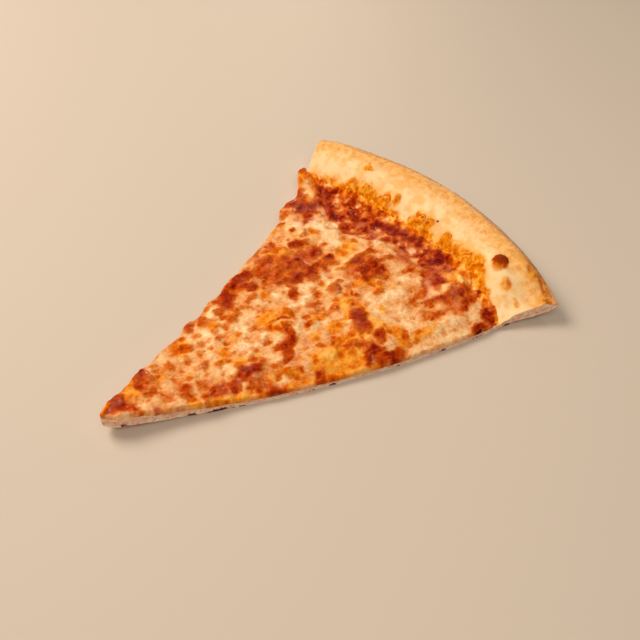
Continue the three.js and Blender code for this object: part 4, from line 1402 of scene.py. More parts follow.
@dataclass
class CrustLayer(Layer):
    """The dough sheet and its baked rim, with crumb at the cuts, oil stains and a floury sole."""

    rim_from: float = 184.0
    coarse_pitch: float = 0.6
    first_step: float = 0.7
    turn_length: float = 19.0
    sole_pitch: float = 1.6
    wall_levels: int = 14
    rough: float = 0.25
    roughs: Cloud = Cloud(6.0, 81.0, 4, 0.7)
    rough_span: Span = (219.0, 229.0)
    rim_span: Span = (190.0, 197.0)
    rim_fade: float = 2.5
    outside_span: Span = (210.0, 217.0)
    swell: float = 0.35
    swells: Cloud = Cloud(9.0, 82.0, 3)
    pimple: float = 0.1
    pimples: Cloud = Cloud(1.6, 83.0, 3, 0.7)
    relief_drop: float = 0.15
    husk: float = 0.35
    husks: Cloud = Cloud(2.4, 84.0, 3, 0.7)
    brown_rise: float = 0.4
    shoulder: float = 0.6
    front_shoulder: float = 0.9
    front_span: Span = (35.0, 65.0)
    shoulder_radius: float = 222.0
    shoulder_width: float = 3.5
    dome: tuple[float, float, float, float] = (204.7, -53.2, 4.7, 1.7)
    dome_wave: float = 0.14
    dome_waves: Cloud = Cloud(5.0, 98.0, 2)
    dome_dark: tuple[float, float, float] = (2.2, 0.2, 4.7)
    dome_dark_span: Span = (-0.6, 1.6)
    dome_dark_wave: float = 1.5
    dome_far_span: Span = (-3.5, 1.5)
    dome_rag: float = 0.3
    dome_rags: Cloud = Cloud(1.8, 95.0, 3, 0.7)
    dome_near_edge: Span = (-0.6, 0.75)
    dome_far_edge: Span = (-0.2, 0.2)
    dome_browns: Span = (0.46, 0.82)
    arc_share: float = 0.85
    arc_width: float = 0.7
    arc_brown: float = 0.6
    bubble_power: float = 1.3
    bubble_stain: float = 1.0
    bubbles: Rows = ((200.8, 26, 3.8, 0.8), (204.2, 20, 2.4, 0.6), (202.4, 1, 3.8, 0.8),
                     (203.6, -5, 2.6, 0.6), (202.6, -19, 3.2, 0.7), (200, 40, 2.4, 0.5),
                     (200, -36, 3.4, 0.4), (197.5, 49, 3.0, 0.5))
    pores: Scatter = Scatter(2.1, 85.0)
    pore_shape: tuple[float, float, float, float] = (2.1, 0.34, 0.22, 0.5)
    small_pores: Scatter = Scatter(0.9, 86.0)
    small_pore_shape: tuple[float, float, float, float] = (1.6, 0.3, 0.2, 0.2)
    crumb: float = 0.22
    crumbs: Cloud = Cloud(3.0, 87.0, 3, 0.7)
    crumb_flat: float = 2.0
    scorches: Rows = ((11, 2, 0.3), (21, 3, 0.25), (41, 2.5, 0.5), (52, 4.5, 0.7), (62, 4, 0.35),
                      (97, 4, 0.3), (106, 2, 0.4), (140, 3, 0.2), (165, 4, 0.3), (185, 3, 0.3),
                      (204, 3, 0.3))
    stain_edges: Rows = ((-22.5, 198), (-19.8, 200), (-17, 202), (-14.2, 206), (-12.6, 209), (-11, 208.5),
                         (-8, 207), (-5.6, 205.5), (-3, 202.5), (0, 205), (1.5, 203.5), (3, 200.5),
                         (5.6, 203), (8.4, 205.5), (11, 206.5), (14, 206), (16, 204), (18.8, 204.5),
                         (22.5, 206))
    stain_wave: float = 2.6
    stain_waves: Cloud = Cloud(4.0, 91.0, 3)
    stain_soft: Span = (-2.2, 2.8)
    stain_span: Span = (189.0, 194.0)
    brown_fringe: Fringe = Fringe(0.3, Cloud(2.4, 34.0, 3, 0.7), 0.3, 0.95)
    mark_brown: float = 0.8
    brown_span: Span = (194.0, 197.0)
    char_span: Span = (0.3, 0.7)
    outer_waves: Cloud = Cloud(7.0, 92.0, 3)
    tan_wave: float = 2.2
    tan_span: Span = (206.0, 222.0)
    flour_wave: float = 5.0
    flour_waves: Cloud = Cloud(2.6, 93.0, 4, 0.75)
    flour_span: Span = (221.5, 227.0)
    roast_wave: float = 5.0
    roast_side: Span = (48.0, 68.0)
    roast_span: Span = (217.0, 224.0)
    lip_edge: Span = (0.7, 1.4)
    lip_end: Span = (194.0, 199.0)

    def stations(self) -> Array:
        """Nominal radii of the rows: coarse below the sauce, fine on the rim and even round its outside.

        Returns:
            Radii.
        """
        crest = self.form.rim_crest
        sheet = np.arange(self.form.tip_radius + self.first_step, self.rim_from, self.coarse_pitch)
        slope = np.arange(self.rim_from, crest, self.pitch)
        turn = np.linspace(0.0, math.pi / 2, round(self.turn_length / self.pitch))
        outside = crest + (self.form.pie_radius - crest) * np.sin(turn)
        return np.concatenate([self.nose(), sheet, slope, outside])

    def spacing(self, nominal: float, upper: bool) -> float:
        """Fine on the rim's upper side, coarser below.

        Args:
            nominal: the row's nominal radius.
            upper: whether it is the upper sheet.

        Returns:
            The width between points, or 0 where the row is hidden.
        """
        if upper:
            return self.pitch if nominal >= self.rim_from else 0.0
        return self.sole_pitch

    def place(self, radius: Array, across: Array) -> tuple[Array, Array]:
        """Place on the table, with the rim's outside drawn in here and there."""
        rough = self.rough * (1.0 + self.roughs(self.along(across), 0.0 * across))
        return self.form.plan(radius - rough * smoothstep(radius, *self.rough_span), across)

    def top(self, radius: Array, across: Array, x: Array, y: Array) -> Array:
        """The dough's top, with a baked rim's swellings and roughness, and bubbles in the oily band.

        Args:
            radius: distances from the pie's centre.
            across: shares from -1 at the front cut to 1 at the back cut.
            x: places along the slice.
            y: places across the slice.

        Returns:
            Heights.
        """
        rim = smoothstep(radius, *self.rim_span)
        rim = rim * smoothstep(self.form.pie_radius - radius, 0.0, self.rim_fade)
        outside = smoothstep(radius, *self.outside_span)
        wx, wy = self.topping.stirred(x, y)
        relief = self.swell * self.swells(x, y) + self.pimple * self.pimples(x, y) - self.relief_drop
        shoulder = self.shoulder + self.front_shoulder * smoothstep(-y, *self.front_span)
        bump = self.form.bump(np.abs(radius - self.shoulder_radius), self.shoulder_width)
        relief = relief + shoulder * bump
        relief = relief + outside * self.husk * self.husks(x, y)
        relief = relief + self.brown_rise * self.topping.marks(Tone.BROWN, wx, wy)
        for at_x, at_y, wide, rise in self.bubbles:
            bubble = np.clip(1.0 - ((wx - at_x) ** 2 + (wy - at_y) ** 2) / wide**2, 0.0, 1.0)
            relief = relief + rise * bubble**self.bubble_power
        relief = relief + self.dome[3] * np.clip(self.blister(x, y), 0.0, 1.0)
        return self.form.belly(x) + self.form.dough_height(radius, across, x, y) + rim * relief

    def blistered(self, x: Array, y: Array) -> Array:
        """How browned the bubbles are: an arc on the side that faces the rim.

        Args:
            x: places along the slice.
            y: places across the slice.

        Returns:
            Browning from 0 to 1.
        """
        browned = np.zeros_like(x)
        for at_x, at_y, wide, _ in self.bubbles:
            distance = np.hypot(x - at_x, y - at_y)
            arc = np.exp(-(((distance - self.arc_share * wide) / self.arc_width) ** 2))
            arc = arc * smoothstep((x - at_x) / wide, -self.arc_width, self.arc_width)
            browned = np.maximum(browned, self.arc_brown * arc)
        return browned

    def blister(self, x: Array, y: Array) -> Array:
        """The big blister's round form: 1 in its middle, 0 at its uneven outline.

        Args:
            x: places along the slice.
            y: places across the slice.

        Returns:
            The form, which is below 0 outside the outline.
        """
        at_x, at_y, wide, _ = self.dome
        wide = wide * (1.0 + self.dome_wave * self.dome_waves(x, y))
        return 1.0 - ((x - at_x) ** 2 + (y - at_y) ** 2) / wide**2

    def burnt(self, x: Array, y: Array) -> Array:
        """How browned the big blister is: orange and soft on its near side, dark towards the rim.

        Args:
            x: places along the slice.
            y: places across the slice.

        Returns:
            Browning from 0 to 1.
        """
        at_x, at_y, _, _ = self.dome
        aside_x, aside_y, dark_width = self.dome_dark
        rags = self.dome_rags(x, y)
        dark = dark_width - np.hypot(x - at_x - aside_x, y - at_y - aside_y)
        dark = smoothstep(dark + self.dome_dark_wave * rags, *self.dome_dark_span)
        far = smoothstep(x - at_x, *self.dome_far_span)
        low, high = (lerp(near, away, far) for near, away in zip(self.dome_near_edge, self.dome_far_edge))
        light, deep = self.dome_browns
        return smoothstep(self.blister(x, y) + self.dome_rag * rags, low, high) * lerp(light, deep, dark)

    def bottom(self, radius: Array, across: Array, x: Array, y: Array) -> Array:
        """The sole."""
        return self.form.belly(x) + self.form.sole_height(radius, across, x, y)

    def carved(self, x: Array, z: Array, side: float) -> Array:
        """Depth of the crumb's pores: flat oval bubbles in the cut face, on uneven dough.

        Args:
            x: places along the slice.
            z: heights.
            side: -1 or 1 for a cut, 0 for none.

        Returns:
            Depths.
        """
        depth = np.zeros_like(x)
        for places, (flat, size, soft, deep) in ((self.pores, self.pore_shape),
                                                 (self.small_pores, self.small_pore_shape)):
            depth = depth + deep * smoothstep(size - places(x, flat * z, side), 0.0, soft)
        crumbs = replace(self.crumbs, seed=self.crumbs.seed + side)
        return depth + self.crumb * (1.0 + crumbs(x, self.crumb_flat * z))

    def dressed(self, radius: Array, across: Array, x: Array, y: Array, level: Array) -> dict[str, Array]:
        """Oil stains and browned bubbles on the rim's foot, how far outside a place is, and how roasted.

        Args:
            radius: distances from the pie's centre.
            across: shares from -1 at the front cut to 1 at the back cut.
            x: places along the slice.
            y: places across the slice.
            level: 0 on the upper sheet, 1 on the lower one, and between them on the walls.

        Returns:
            The fields by name.
        """
        wx, wy = self.topping.stirred(x, y)
        degrees = np.degrees(np.arctan2(y, x))
        stain = through(self.stain_edges, degrees) - radius + self.stain_wave * self.stain_waves(x, y)
        for at_x, at_y, wide, _ in self.bubbles:
            stain = np.maximum(stain, wide + self.bubble_stain - np.hypot(wx - at_x, wy - at_y))
        stain = np.maximum(smoothstep(stain, *self.stain_soft), self.topping.marks(Tone.OIL, wx, wy))
        brown = self.mark_brown * self.brown_fringe.cover(self.topping.marks(Tone.BROWN, wx, wy), x, y)
        brown = np.maximum(np.maximum(brown, self.blistered(wx, wy)), self.burnt(x, y))
        outer = self.outer_waves(x, y)
        roast = smoothstep(radius + self.roast_wave * outer, *self.roast_span)
        flour = radius + self.flour_wave * self.flour_waves(degrees, radius)
        return {
            "stain": stain * smoothstep(radius, *self.stain_span),
            "brown": brown * smoothstep(radius, *self.brown_span),
            "char": smoothstep(self.topping.marks(Tone.CHAR, wx, wy), *self.char_span),
            "outside": smoothstep(radius + self.tan_wave * outer, *self.tan_span),
            "scorch": sum(share * np.exp(-(((radius - at) / width) ** 2))
                          for at, width, share in self.scorches),
            "floury": smoothstep(flour, *self.flour_span),
            "roast": smoothstep(-y, *self.roast_side) * roast,
            "lip": self.lip(radius, across),
            "sole": level * np.ones_like(x),
        }

    def lip(self, radius: Array, across: Array) -> Array:
        """How much of the crumb shows on the dough's top edge at the cuts, where the cheese stops short."""
        edge = 1.0 - smoothstep(self.form.to_cut(radius, across), *self.lip_edge)
        return edge * (1.0 - smoothstep(radius, *self.lip_end))


# ---------------------------------------------------------------------------------------------------
# Making materials


@dataclass(frozen=True)
class Colour:
    """A colour as it is seen, its red, green and blue from 0 to 255."""

    red: float
    green: float
    blue: float

    @property
    def linear(self) -> tuple[float, float, float, float]:
        """The colour as light: each part to the power that screens use, and a whole alpha.

        Returns:
            Red, green, blue and alpha, from 0 to 1.
        """
        parts = (part / 255.0 for part in (self.red, self.green, self.blue))
        light = (part / 12.92 if part <= 0.04045 else ((part + 0.055) / 1.055) ** 2.4 for part in parts)
        return (*light, 1.0)


Stops = tuple[tuple[float, Colour], ...]


def stops(*rows: tuple[float, float, float, float]) -> Stops:
    """A run of colours from rows of a place from 0 to 1, red, green and blue."""
    return tuple((place, Colour(red, green, blue)) for place, red, green, blue in rows)


@dataclass(frozen=True)
class Speckle:
    """A finish's noise: its widest patches' width in millimetres, its detail and the finer ones' weight."""

    pitch: float
    detail: float = 3.0
    keep: float = 0.6


@dataclass(frozen=True)
class Fade:
    """Where a colour fades in: the readings where it begins and is full, and how far noise stirs them."""

    low: float
    high: float
    wobble: float = 0.0


class Reading:
    """A number that changes over a surface; adding, taking or timesing it adds a Math node."""

    def __init__(self, graph: "Graph", socket: bpy.types.NodeSocket) -> None:
        """Wraps a socket of a graph."""
        self.graph, self.socket = graph, socket

    def joined(self, operation: str, first: "Reading | float", second: "Reading | float") -> "Reading":
        """A Math node on two values."""
        return self.graph.read("ShaderNodeMath", {"operation": operation}, {0: first, 1: second})

    def __add__(self, other: "Reading | float") -> "Reading":
        """This plus the other."""
        return self.joined("ADD", self, other)

    def __radd__(self, other: float) -> "Reading":
        """The other plus this."""
        return self.joined("ADD", other, self)

    def __sub__(self, other: "Reading | float") -> "Reading":
        """This less the other."""
        return self.joined("SUBTRACT", self, other)

    def __rsub__(self, other: float) -> "Reading":
        """The other less this."""
        return self.joined("SUBTRACT", other, self)

    def __mul__(self, other: "Reading | float") -> "Reading":
        """This times the other."""
        return self.joined("MULTIPLY", self, other)

    def __rmul__(self, other: float) -> "Reading":
        """The other times this."""
        return self.joined("MULTIPLY", other, self)

    def most(self, other: "Reading | float") -> "Reading":
        """The greater of the two."""
        return self.joined("MAXIMUM", self, other)

    def swing(self, depth: float) -> "Reading":
        """This noise's swing about its middle, times a depth."""
        return (self - 0.5) * depth

    def blended(self, other: "Reading", share: float) -> "Reading":
        """This with a share of the other mixed in."""
        return self * (1.0 - share) + other * share

    def faded(self, fade: Fade, noise: "Reading | None" = None) -> "Reading":
        """Smooth climb from 0 to 1 over a fade.

        Args:
            fade: where the climb begins and ends, and how far the noise stirs it.
            noise: the noise, or None for none.

        Returns:
            The climb.
        """
        stirred = self if noise is None else self + noise.swing(fade.wobble)
        return self.graph.read("ShaderNodeMapRange", {"interpolation_type": "SMOOTHSTEP"},
                               {"Value": stirred, "From Min": fade.low, "From Max": fade.high})


class Graph:
    """The node tree of one material, around one Principled shader."""

    def __init__(self, name: str) -> None:
        """Makes an empty material with its shader and output.

        Args:
            name: the material's name.
        """
        self.material = bpy.data.materials.new(name)
        self.material.use_nodes = True
        self.tree = self.material.node_tree
        self.tree.nodes.clear()
        self.shader = self.node("ShaderNodeBsdfPrincipled", {}, {})
        self.node("ShaderNodeOutputMaterial", {}, {"Surface": self.shader.outputs["BSDF"]})
        self.place = self.node("ShaderNodeTexCoord", {}, {}).outputs["Object"]

    def feed(self, socket: bpy.types.NodeSocket, value: object) -> None:
        """Links a reading or a socket to an input, or sets the input to a plain value.

        Args:
            socket: the input.
            value: a reading, a socket, a colour or a plain value.
        """
        if isinstance(value, Reading):
            value = value.socket
        if isinstance(value, Colour):
            value = value.linear
        if isinstance(value, bpy.types.NodeSocket):
            self.tree.links.new(value, socket)
        else:
            socket.default_value = value

    def node(self, kind: str, settings: dict[str, object],
             inputs: dict[str | int, object]) -> bpy.types.Node:
        """Makes a node.

        Args:
            kind: the node's type.
            settings: its settings, which are set first.
            inputs: values or links of its inputs, by name or number.

        Returns:
            The node.
        """
        made = self.tree.nodes.new(kind)
        for name, value in settings.items():
            setattr(made, name, value)
        for key, value in inputs.items():
            self.feed(made.inputs[key], value)
        return made

    def read(self, kind: str, settings: dict[str, object], inputs: dict[str | int, object]) -> Reading:
        """Makes a node and reads its first output."""
        return Reading(self, self.node(kind, settings, inputs).outputs[0])

    def attribute(self, name: str) -> Reading:
        """Reads one of the piece's fields."""
        return Reading(self, self.node("ShaderNodeAttribute", {"attribute_name": name}, {}).outputs["Fac"])

    def speckle(self, kind: Speckle) -> Reading:
        """Noise on the piece, from 0 to 1.

        Args:
            kind: the noise's sizes.

        Returns:
            The noise.
        """
        return self.read("ShaderNodeTexNoise", {"noise_dimensions": "3D"},
                         {"Vector": self.place, "Scale": 1.0 / (kind.pitch * MM), "Detail": kind.detail,
                          "Roughness": kind.keep})

    def mix(self, share: Reading | float, low: object, high: object) -> bpy.types.NodeSocket:
        """Blends two colours."""
        inputs = {"Factor": share, 6: low, 7: high}
        return self.node("ShaderNodeMix", {"data_type": "RGBA"}, inputs).outputs[2]

    def ramp(self, place: Reading, run: Stops) -> object:
        """Runs through colours, each at its place from 0 to 1.

        Args:
            place: where the run is read, from 0 to 1.
            run: the colours and their places.

        Returns:
            The colour.
        """
        colour: object = run[0][1]
        for (low, _), (high, reached) in zip(run, run[1:]):
            share = self.read("ShaderNodeMapRange", {}, {"Value": place, "From Min": low, "From Max": high})
            colour = self.mix(share, colour, reached)
        return colour

    def finish(self, colour: object, roughness: Reading | float, coat: Reading | float,
               height: Reading, depth: float, constants: dict[str, object]) -> bpy.types.Material:
        """Feeds the shader.

        Args:
            colour: base colour.
            roughness: roughness.
            coat: weight of the oily coat.
            height: relief for the bump, from 0 to 1.
            depth: how deep that relief is, in millimetres.
            constants: values of the shader's other inputs, the same all over.

        Returns:
            The material.
        """
        bump = self.node("ShaderNodeBump", {}, {"Height": height, "Distance": depth * MM})
        inputs = {"Base Color": colour, "Roughness": roughness, "Coat Weight": coat,
                  "Normal": bump.outputs["Normal"]}
        for name, value in (inputs | constants).items():
            self.feed(self.shader.inputs[name], value)
        return self.material


@dataclass(frozen=True)
class ToppedFinish:
    """What the cheese's and the sauce's finishes share: runs of colour from browned at 0 to pale at 1."""

    fine: Speckle = Speckle(1.3, 2.0, 0.5)
    broad: Speckle = Speckle(3.4, 4.0, 0.7)
    bump: Speckle = Speckle(0.7, 1.0)
    bump_share: float = 0.3
    melt: Stops = stops((0.0, 120, 8, 0), (0.14, 158, 32, 0), (0.3, 190, 68, 2), (0.46, 210, 103, 26),
                        (0.62, 228, 142, 74), (0.78, 242, 174, 110), (0.9, 250, 198, 138),
                        (1.0, 255, 218, 168))
    oil: Stops = stops((0.0, 140, 34, 2), (0.2, 190, 66, 2), (0.42, 224, 104, 4), (0.62, 244, 144, 26),
                       (0.82, 252, 176, 66), (1.0, 254, 206, 112))
    red: Stops = stops((0.0, 104, 8, 1), (0.22, 150, 30, 2), (0.45, 190, 58, 4), (0.68, 216, 98, 36),
                       (0.88, 232, 148, 96), (1.0, 244, 184, 132))
    # Pale pink veil, partly painted highlight where its marks stand in for glints.
    veil: Colour = Colour(244, 180, 136)
    lump: Colour = Colour(255, 222, 130)
    lump_deep: Colour = Colour(244, 172, 62)
    char: Colour = Colour(50, 14, 6)
    oil_cover: float = 0.85
    red_cover: float = 0.75
    veil_and_sheen_cover: float = 0.5
    lump_cover: float = 0.9
    char_cover: float = 0.9
    tone_wobble: float = 0.6
    tone_edge: Fade = Fade(0.0, 0.4)
    melt_wobble: float = 0.5
    red_wobble: float = 1.5
    rough: float = 0.5
    rough_wobble: float = 0.3

    def laid(self, graph: Graph, fine: Reading, broad: Reading) -> bpy.types.NodeSocket:
        """Lays the tones over each other.

        Args:
            graph: the material's graph.
            fine: fine noise, which makes each tone's edge ragged.
            broad: broader noise, which varies the red.

        Returns:
            The finished colour.
        """
        wobble = fine.swing(self.tone_wobble)

        def cover(tone: Tone, most: float) -> Reading:
            """A tone's share with a ragged edge, and nothing where it is nothing."""
            share = graph.attribute(tone.value)
            return (share + wobble * share.faded(self.tone_edge)) * most

        melt = graph.attribute(Tone.CREAM.value) + fine.swing(self.melt_wobble)
        oil, red = graph.ramp(melt, self.oil), graph.ramp(melt + broad.swing(self.red_wobble), self.red)
        lumps = graph.mix(fine, self.lump_deep, self.lump)
        colour = graph.mix(cover(Tone.OIL, self.oil_cover), graph.ramp(melt, self.melt), oil)
        colour = graph.mix(cover(Tone.RED, self.red_cover), colour, red)
        # Lays the veil: a pale pink film, partly painted glints.
        colour = graph.mix(cover(Tone.VEIL, self.veil_and_sheen_cover), colour, self.veil)
        colour = graph.mix(cover(Tone.LUMP, self.lump_cover), colour, lumps)
        return graph.mix(cover(Tone.CHAR, self.char_cover), colour, self.char)

    def relief(self, graph: Graph, fine: Reading) -> Reading:
        """The bump's height: the fine noise with a finer one."""
        return fine.blended(graph.speckle(self.bump), self.bump_share)

    @staticmethod
    def oily() -> dict[str, object]:
        """The shader's values for a surface with beads of oil on it."""
        return {"Coat Roughness": 0.08, "IOR": 1.4, "Specular IOR Level": 0.04,
                "Specular Tint": (1.0, 0.6, 0.3, 1.0)}


@dataclass(frozen=True)
class MeltedCheese(ToppedFinish):
    """Melted cheese: cream to browned, oily, with a pale cut."""

    cut: Colour = Colour(255, 216, 184)
    cut_warm: Colour = Colour(246, 184, 144)
    cut_spots: Fade = Fade(0.4, 0.6)
    cut_edge: Fade = Fade(0.3, 0.6, 0.8)
    red_gloss: float = 0.8
    oil_gloss: float = 0.6
    gloss_coat: float = 0.05
    gloss_smooth: float = 0.1
    bead_edge: Fade = Fade(0.47, 0.8)
    least_coat: float = 0.01
    bump_depth: float = 0.28

    def make(self) -> bpy.types.Material:
        """Makes the material.

        Returns:
            The material.
        """
        graph = Graph("melted_cheese")
        fine, broad = graph.speckle(self.fine), graph.speckle(self.broad)
        cut = graph.mix(broad.faded(self.cut_spots), self.cut_warm, self.cut)
        skirt = graph.attribute("skirt").faded(self.cut_edge, fine)
        colour = graph.mix(skirt, self.laid(graph, fine, broad), cut)
        gloss = graph.attribute(Tone.BROWN.value).most(graph.attribute(Tone.RED.value) * self.red_gloss)
        gloss = gloss.most(graph.attribute(Tone.OIL.value) * self.oil_gloss)
        coat = graph.attribute("bead").faded(self.bead_edge) + gloss * self.gloss_coat + self.least_coat
        roughness = self.rough - gloss * self.gloss_smooth + fine.swing(self.rough_wobble)
        soft = {"Subsurface Weight": 0.1, "Subsurface Radius": (1.0, 0.45, 0.2), "Subsurface Scale": 0.0007}
        relief = self.relief(graph, fine)
        return graph.finish(colour, roughness, coat, relief, self.bump_depth, self.oily() | soft)


@dataclass(frozen=True)
class TomatoSauce(ToppedFinish):
    """Cooked tomato sauce: dark red pulp, wet, turning to orange oil at its edge."""

    # The sauce's veil colour, partly painted highlight where its marks stand in for glints.
    veil: Colour = Colour(232, 130, 84)
    bead_edge: Fade = Fade(0.5, 0.75)
    bead_coat: float = 0.5
    least_coat: float = 0.03
    bump_depth: float = 0.3

    def make(self) -> bpy.types.Material:
        """Makes the material.

        Returns:
            The material.
        """
        graph = Graph("tomato_sauce")
        fine, broad = graph.speckle(self.fine), graph.speckle(self.broad)
        coat = graph.attribute("bead").faded(self.bead_edge) * self.bead_coat + self.least_coat
        roughness = self.rough + fine.swing(self.rough_wobble)
        colour, relief = self.laid(graph, fine, broad), self.relief(graph, fine)
        return graph.finish(colour, roughness, coat, relief, self.bump_depth, self.oily())


@dataclass(frozen=True)
class BakedDough:
    """Baked dough: a pale slope, a tan floury outside, oil stains, crumb at the cuts and a spotted sole."""

    fine: Speckle = Speckle(1.0, 4.0, 0.65)
    middle: Speckle = Speckle(3.2, 4.0)
    broad: Speckle = Speckle(9.0)
    bump: Speckle = Speckle(0.45, 2.0)
    bump_share: float = 0.4
    bump_depth: float = 0.25
    pale: Colour = Colour(253, 210, 150)
    warm: Colour = Colour(248, 182, 106)
    warm_blend: float = 0.12
    warm_spots: Fade = Fade(0.42, 0.64)
    tan: Colour = Colour(248, 182, 100)
    toast: Colour = Colour(232, 146, 62)
    toast_blend: float = 0.4
    toast_spots: Fade = Fade(0.42, 0.62)
    shell_edge: Fade = Fade(0.15, 1.1, 0.5)
    flour: Colour = Colour(238, 186, 140)
    husk: Colour = Colour(190, 112, 66)
    husk_spots: Fade = Fade(0.42, 0.6)
    flour_edge: Fade = Fade(0.15, 0.9, 0.6)
    flour_cover: float = 0.8
    flour_lost: float = 0.5
    roast: Colour = Colour(200, 98, 10)
    roast_pale: Colour = Colour(246, 160, 54)
    roast_spots: Fade = Fade(0.4, 0.6)
    roast_edge: Fade = Fade(0.15, 0.9, 0.6)
    stain: Stops = stops((0.0, 174, 62, 0), (0.3, 212, 100, 0), (0.6, 240, 140, 6), (1.0, 252, 186, 76))
    stain_blend: float = 0.25
    stain_contrast: float = 3.4
    stain_pale: float = 1.1
    stain_deep: float = 0.6
    stain_wobble: float = 0.6
    stain_edge: Fade = Fade(0.0, 1.0)
    brown: Stops = stops((0.2, 248, 172, 66), (0.45, 228, 122, 18), (0.7, 170, 60, 4), (1.0, 104, 24, 4))
    brown_wobble: float = 0.6
    brown_edge: Fade = Fade(0.05, 0.5)
    wobble_edge: Fade = Fade(0.0, 0.3)
    char: Colour = Colour(48, 16, 8)
    char_cover: float = 0.9
    crumb: Colour = Colour(255, 218, 182)
    crumb_pink: Colour = Colour(246, 186, 148)
    crumb_spots: Fade = Fade(0.4, 0.6)
    # Painted shade: the carved pores in the crumb are coloured darker.
    pore: Colour = Colour(206, 124, 84)
    pore_shade_edge: Fade = Fade(0.35, 0.9)
    scorch: Colour = Colour(120, 44, 40)
    scorch_low: float = 0.75
    scorch_edge: Fade = Fade(0.9, 1.05, 1.6)
    cut_edge: Fade = Fade(0.1, 0.6)
    sole: Colour = Colour(236, 204, 152)
    sole_brown: Colour = Colour(176, 112, 56)
    sole_spots: Fade = Fade(0.45, 0.6)
    sole_flour: Fade = Fade(0.5, 0.62)
    sole_flour_cover: float = 0.6
    sole_edge: Fade = Fade(0.85, 1.0)
    rough: float = 0.66
    rough_wobble: float = 0.3
    stain_smooth: float = 0.26
    stain_coat: float = 0.06

    def baked(self, graph: Graph, fine: Reading, middle: Reading) -> bpy.types.NodeSocket:
        """The rim's dry skin: pale and warm inside, tan to toasted outside, roasted at the front and floury.

        Args:
            graph: the material's graph.
            fine: fine noise.
            middle: broader noise.

        Returns:
            The skin's colour.
        """
        broad, roast = graph.speckle(self.broad), graph.attribute("roast")
        skin = graph.mix(broad.blended(middle, self.warm_blend).faded(self.warm_spots), self.pale, self.warm)
        toasted = middle.blended(fine, self.toast_blend).faded(self.toast_spots)
        shell = graph.mix(toasted, self.tan, self.toast)
        skin = graph.mix(graph.attribute("outside").faded(self.shell_edge, middle), skin, shell)
        browned = graph.mix(middle.faded(self.roast_spots), self.roast, self.roast_pale)
        skin = graph.mix(roast.faded(self.roast_edge, middle), skin, browned)
        husk = graph.mix(fine.faded(self.husk_spots), self.husk, self.flour)
        floury = graph.attribute("floury") - roast * self.flour_lost
        return graph.mix(floury.faded(self.flour_edge, fine) * self.flour_cover, skin, husk)

    def cut_open(self, graph: Graph, middle: Reading, low: Reading) -> bpy.types.NodeSocket:
        """The crumb at the cuts: pale and pink, with painted shade in its carved pores, scorched near the
        sole.

        Args:
            graph: the material's graph.
            middle: noise.
            low: how near the sole a place is.

        Returns:
            The crumb's colour.
        """
        crumb = graph.mix(middle.faded(self.crumb_spots), self.crumb, self.crumb_pink)
        # Painted shade in the pores, deeper where they are carved deeper.
        crumb = graph.mix(graph.attribute("pore").faded(self.pore_shade_edge), crumb, self.pore)
        scorched = low * self.scorch_low + graph.attribute("scorch")
        return graph.mix(scorched.faded(self.scorch_edge, middle), crumb, self.scorch)

    def make(self) -> bpy.types.Material:
        """Makes the material.

        Returns:
            The material.
        """
        graph = Graph("baked_dough")
        fine, middle, low = graph.speckle(self.fine), graph.speckle(self.middle), graph.attribute("sole")
        stain, brown = graph.attribute("stain"), graph.attribute("brown")
        stain = stain + fine.swing(self.stain_wobble) * stain.faded(self.wobble_edge)
        stain = stain.faded(self.stain_edge)
        oiled = middle.blended(fine, self.stain_blend).swing(self.stain_contrast) + self.stain_pale
        oiled = graph.ramp(oiled - stain * self.stain_deep, self.stain)
        skin = graph.mix(stain, self.baked(graph, fine, middle), oiled)
        brown = brown + middle.swing(self.brown_wobble) * brown.faded(self.wobble_edge)
        skin = graph.mix(brown.faded(self.brown_edge), skin, graph.ramp(brown, self.brown))
        skin = graph.mix(graph.attribute("char") * self.char_cover, skin, self.char)
        sole = graph.mix(middle.faded(self.sole_spots), self.sole, self.sole_brown)
        sole = graph.mix(fine.faded(self.sole_flour) * self.sole_flour_cover, sole, self.flour)
        skin = graph.mix(low.faded(self.sole_edge), skin, sole)
        cut = graph.attribute("cut").most(graph.attribute("lip")).faded(self.cut_edge)
        skin = graph.mix(cut, skin, self.cut_open(graph, middle, low))
        roughness = self.rough + fine.swing(self.rough_wobble) - stain * self.stain_smooth
        relief = fine.blended(graph.speckle(self.bump), self.bump_share)
        return graph.finish(skin, roughness, stain * self.stain_coat, relief, self.bump_depth,
                            {"Coat Roughness": 0.12, "IOR": 1.4, "Specular IOR Level": 0.1,
                             "Subsurface Weight": 0.1, "Subsurface Radius": (1.0, 0.6, 0.35),
                             "Subsurface Scale": 0.0015})


@dataclass(frozen=True)
class PaleFloor:
    """A plain pale table top."""

    pale: Colour = Colour(208, 186, 162)
    rough: float = 0.6
    grain: Speckle = Speckle(20.0)

    def make(self) -> bpy.types.Material:
        """Makes the material."""
        graph = Graph("pale_floor")
        return graph.finish(self.pale, self.rough, 0.0, graph.speckle(self.grain), 0.0, {})


# ---------------------------------------------------------------------------------------------------
# Floor, lights and camera


@dataclass(frozen=True)
class Lamp:
    """A square light facing the origin: its place, its width in metres, its power in watts and its tint."""

    name: str
    place: tuple[float, float, float]
    width: float
    power: float
    tint: tuple[float, float, float] = (1.0, 0.99, 0.97)
    glint: bool = False

    def light(self) -> None:
        """Hangs the lamp: a broad one lights the food without mirroring in it, a glint lamp only mirrors."""
        data = bpy.data.lights.new(self.name, "AREA")
        data.shape, data.size, data.energy, data.color = "SQUARE", self.width, self.power, self.tint
        lamp = bpy.data.objects.new(self.name, data)
        lamp.location = self.place
        lamp.rotation_euler = (-Vector(self.place)).to_track_quat("-Z", "Y").to_euler()
        lamp.visible_diffuse, lamp.visible_glossy = not self.glint, self.glint
        bpy.context.scene.collection.objects.link(lamp)


def glint_lamp(name: str, place: tuple[float, float, float], power: float) -> Lamp:
    """A small warm lamp that only mirrors in the beads of oil."""
    return Lamp(name, place, width=0.05, power=power, tint=(1.0, 0.8, 0.58), glint=True)


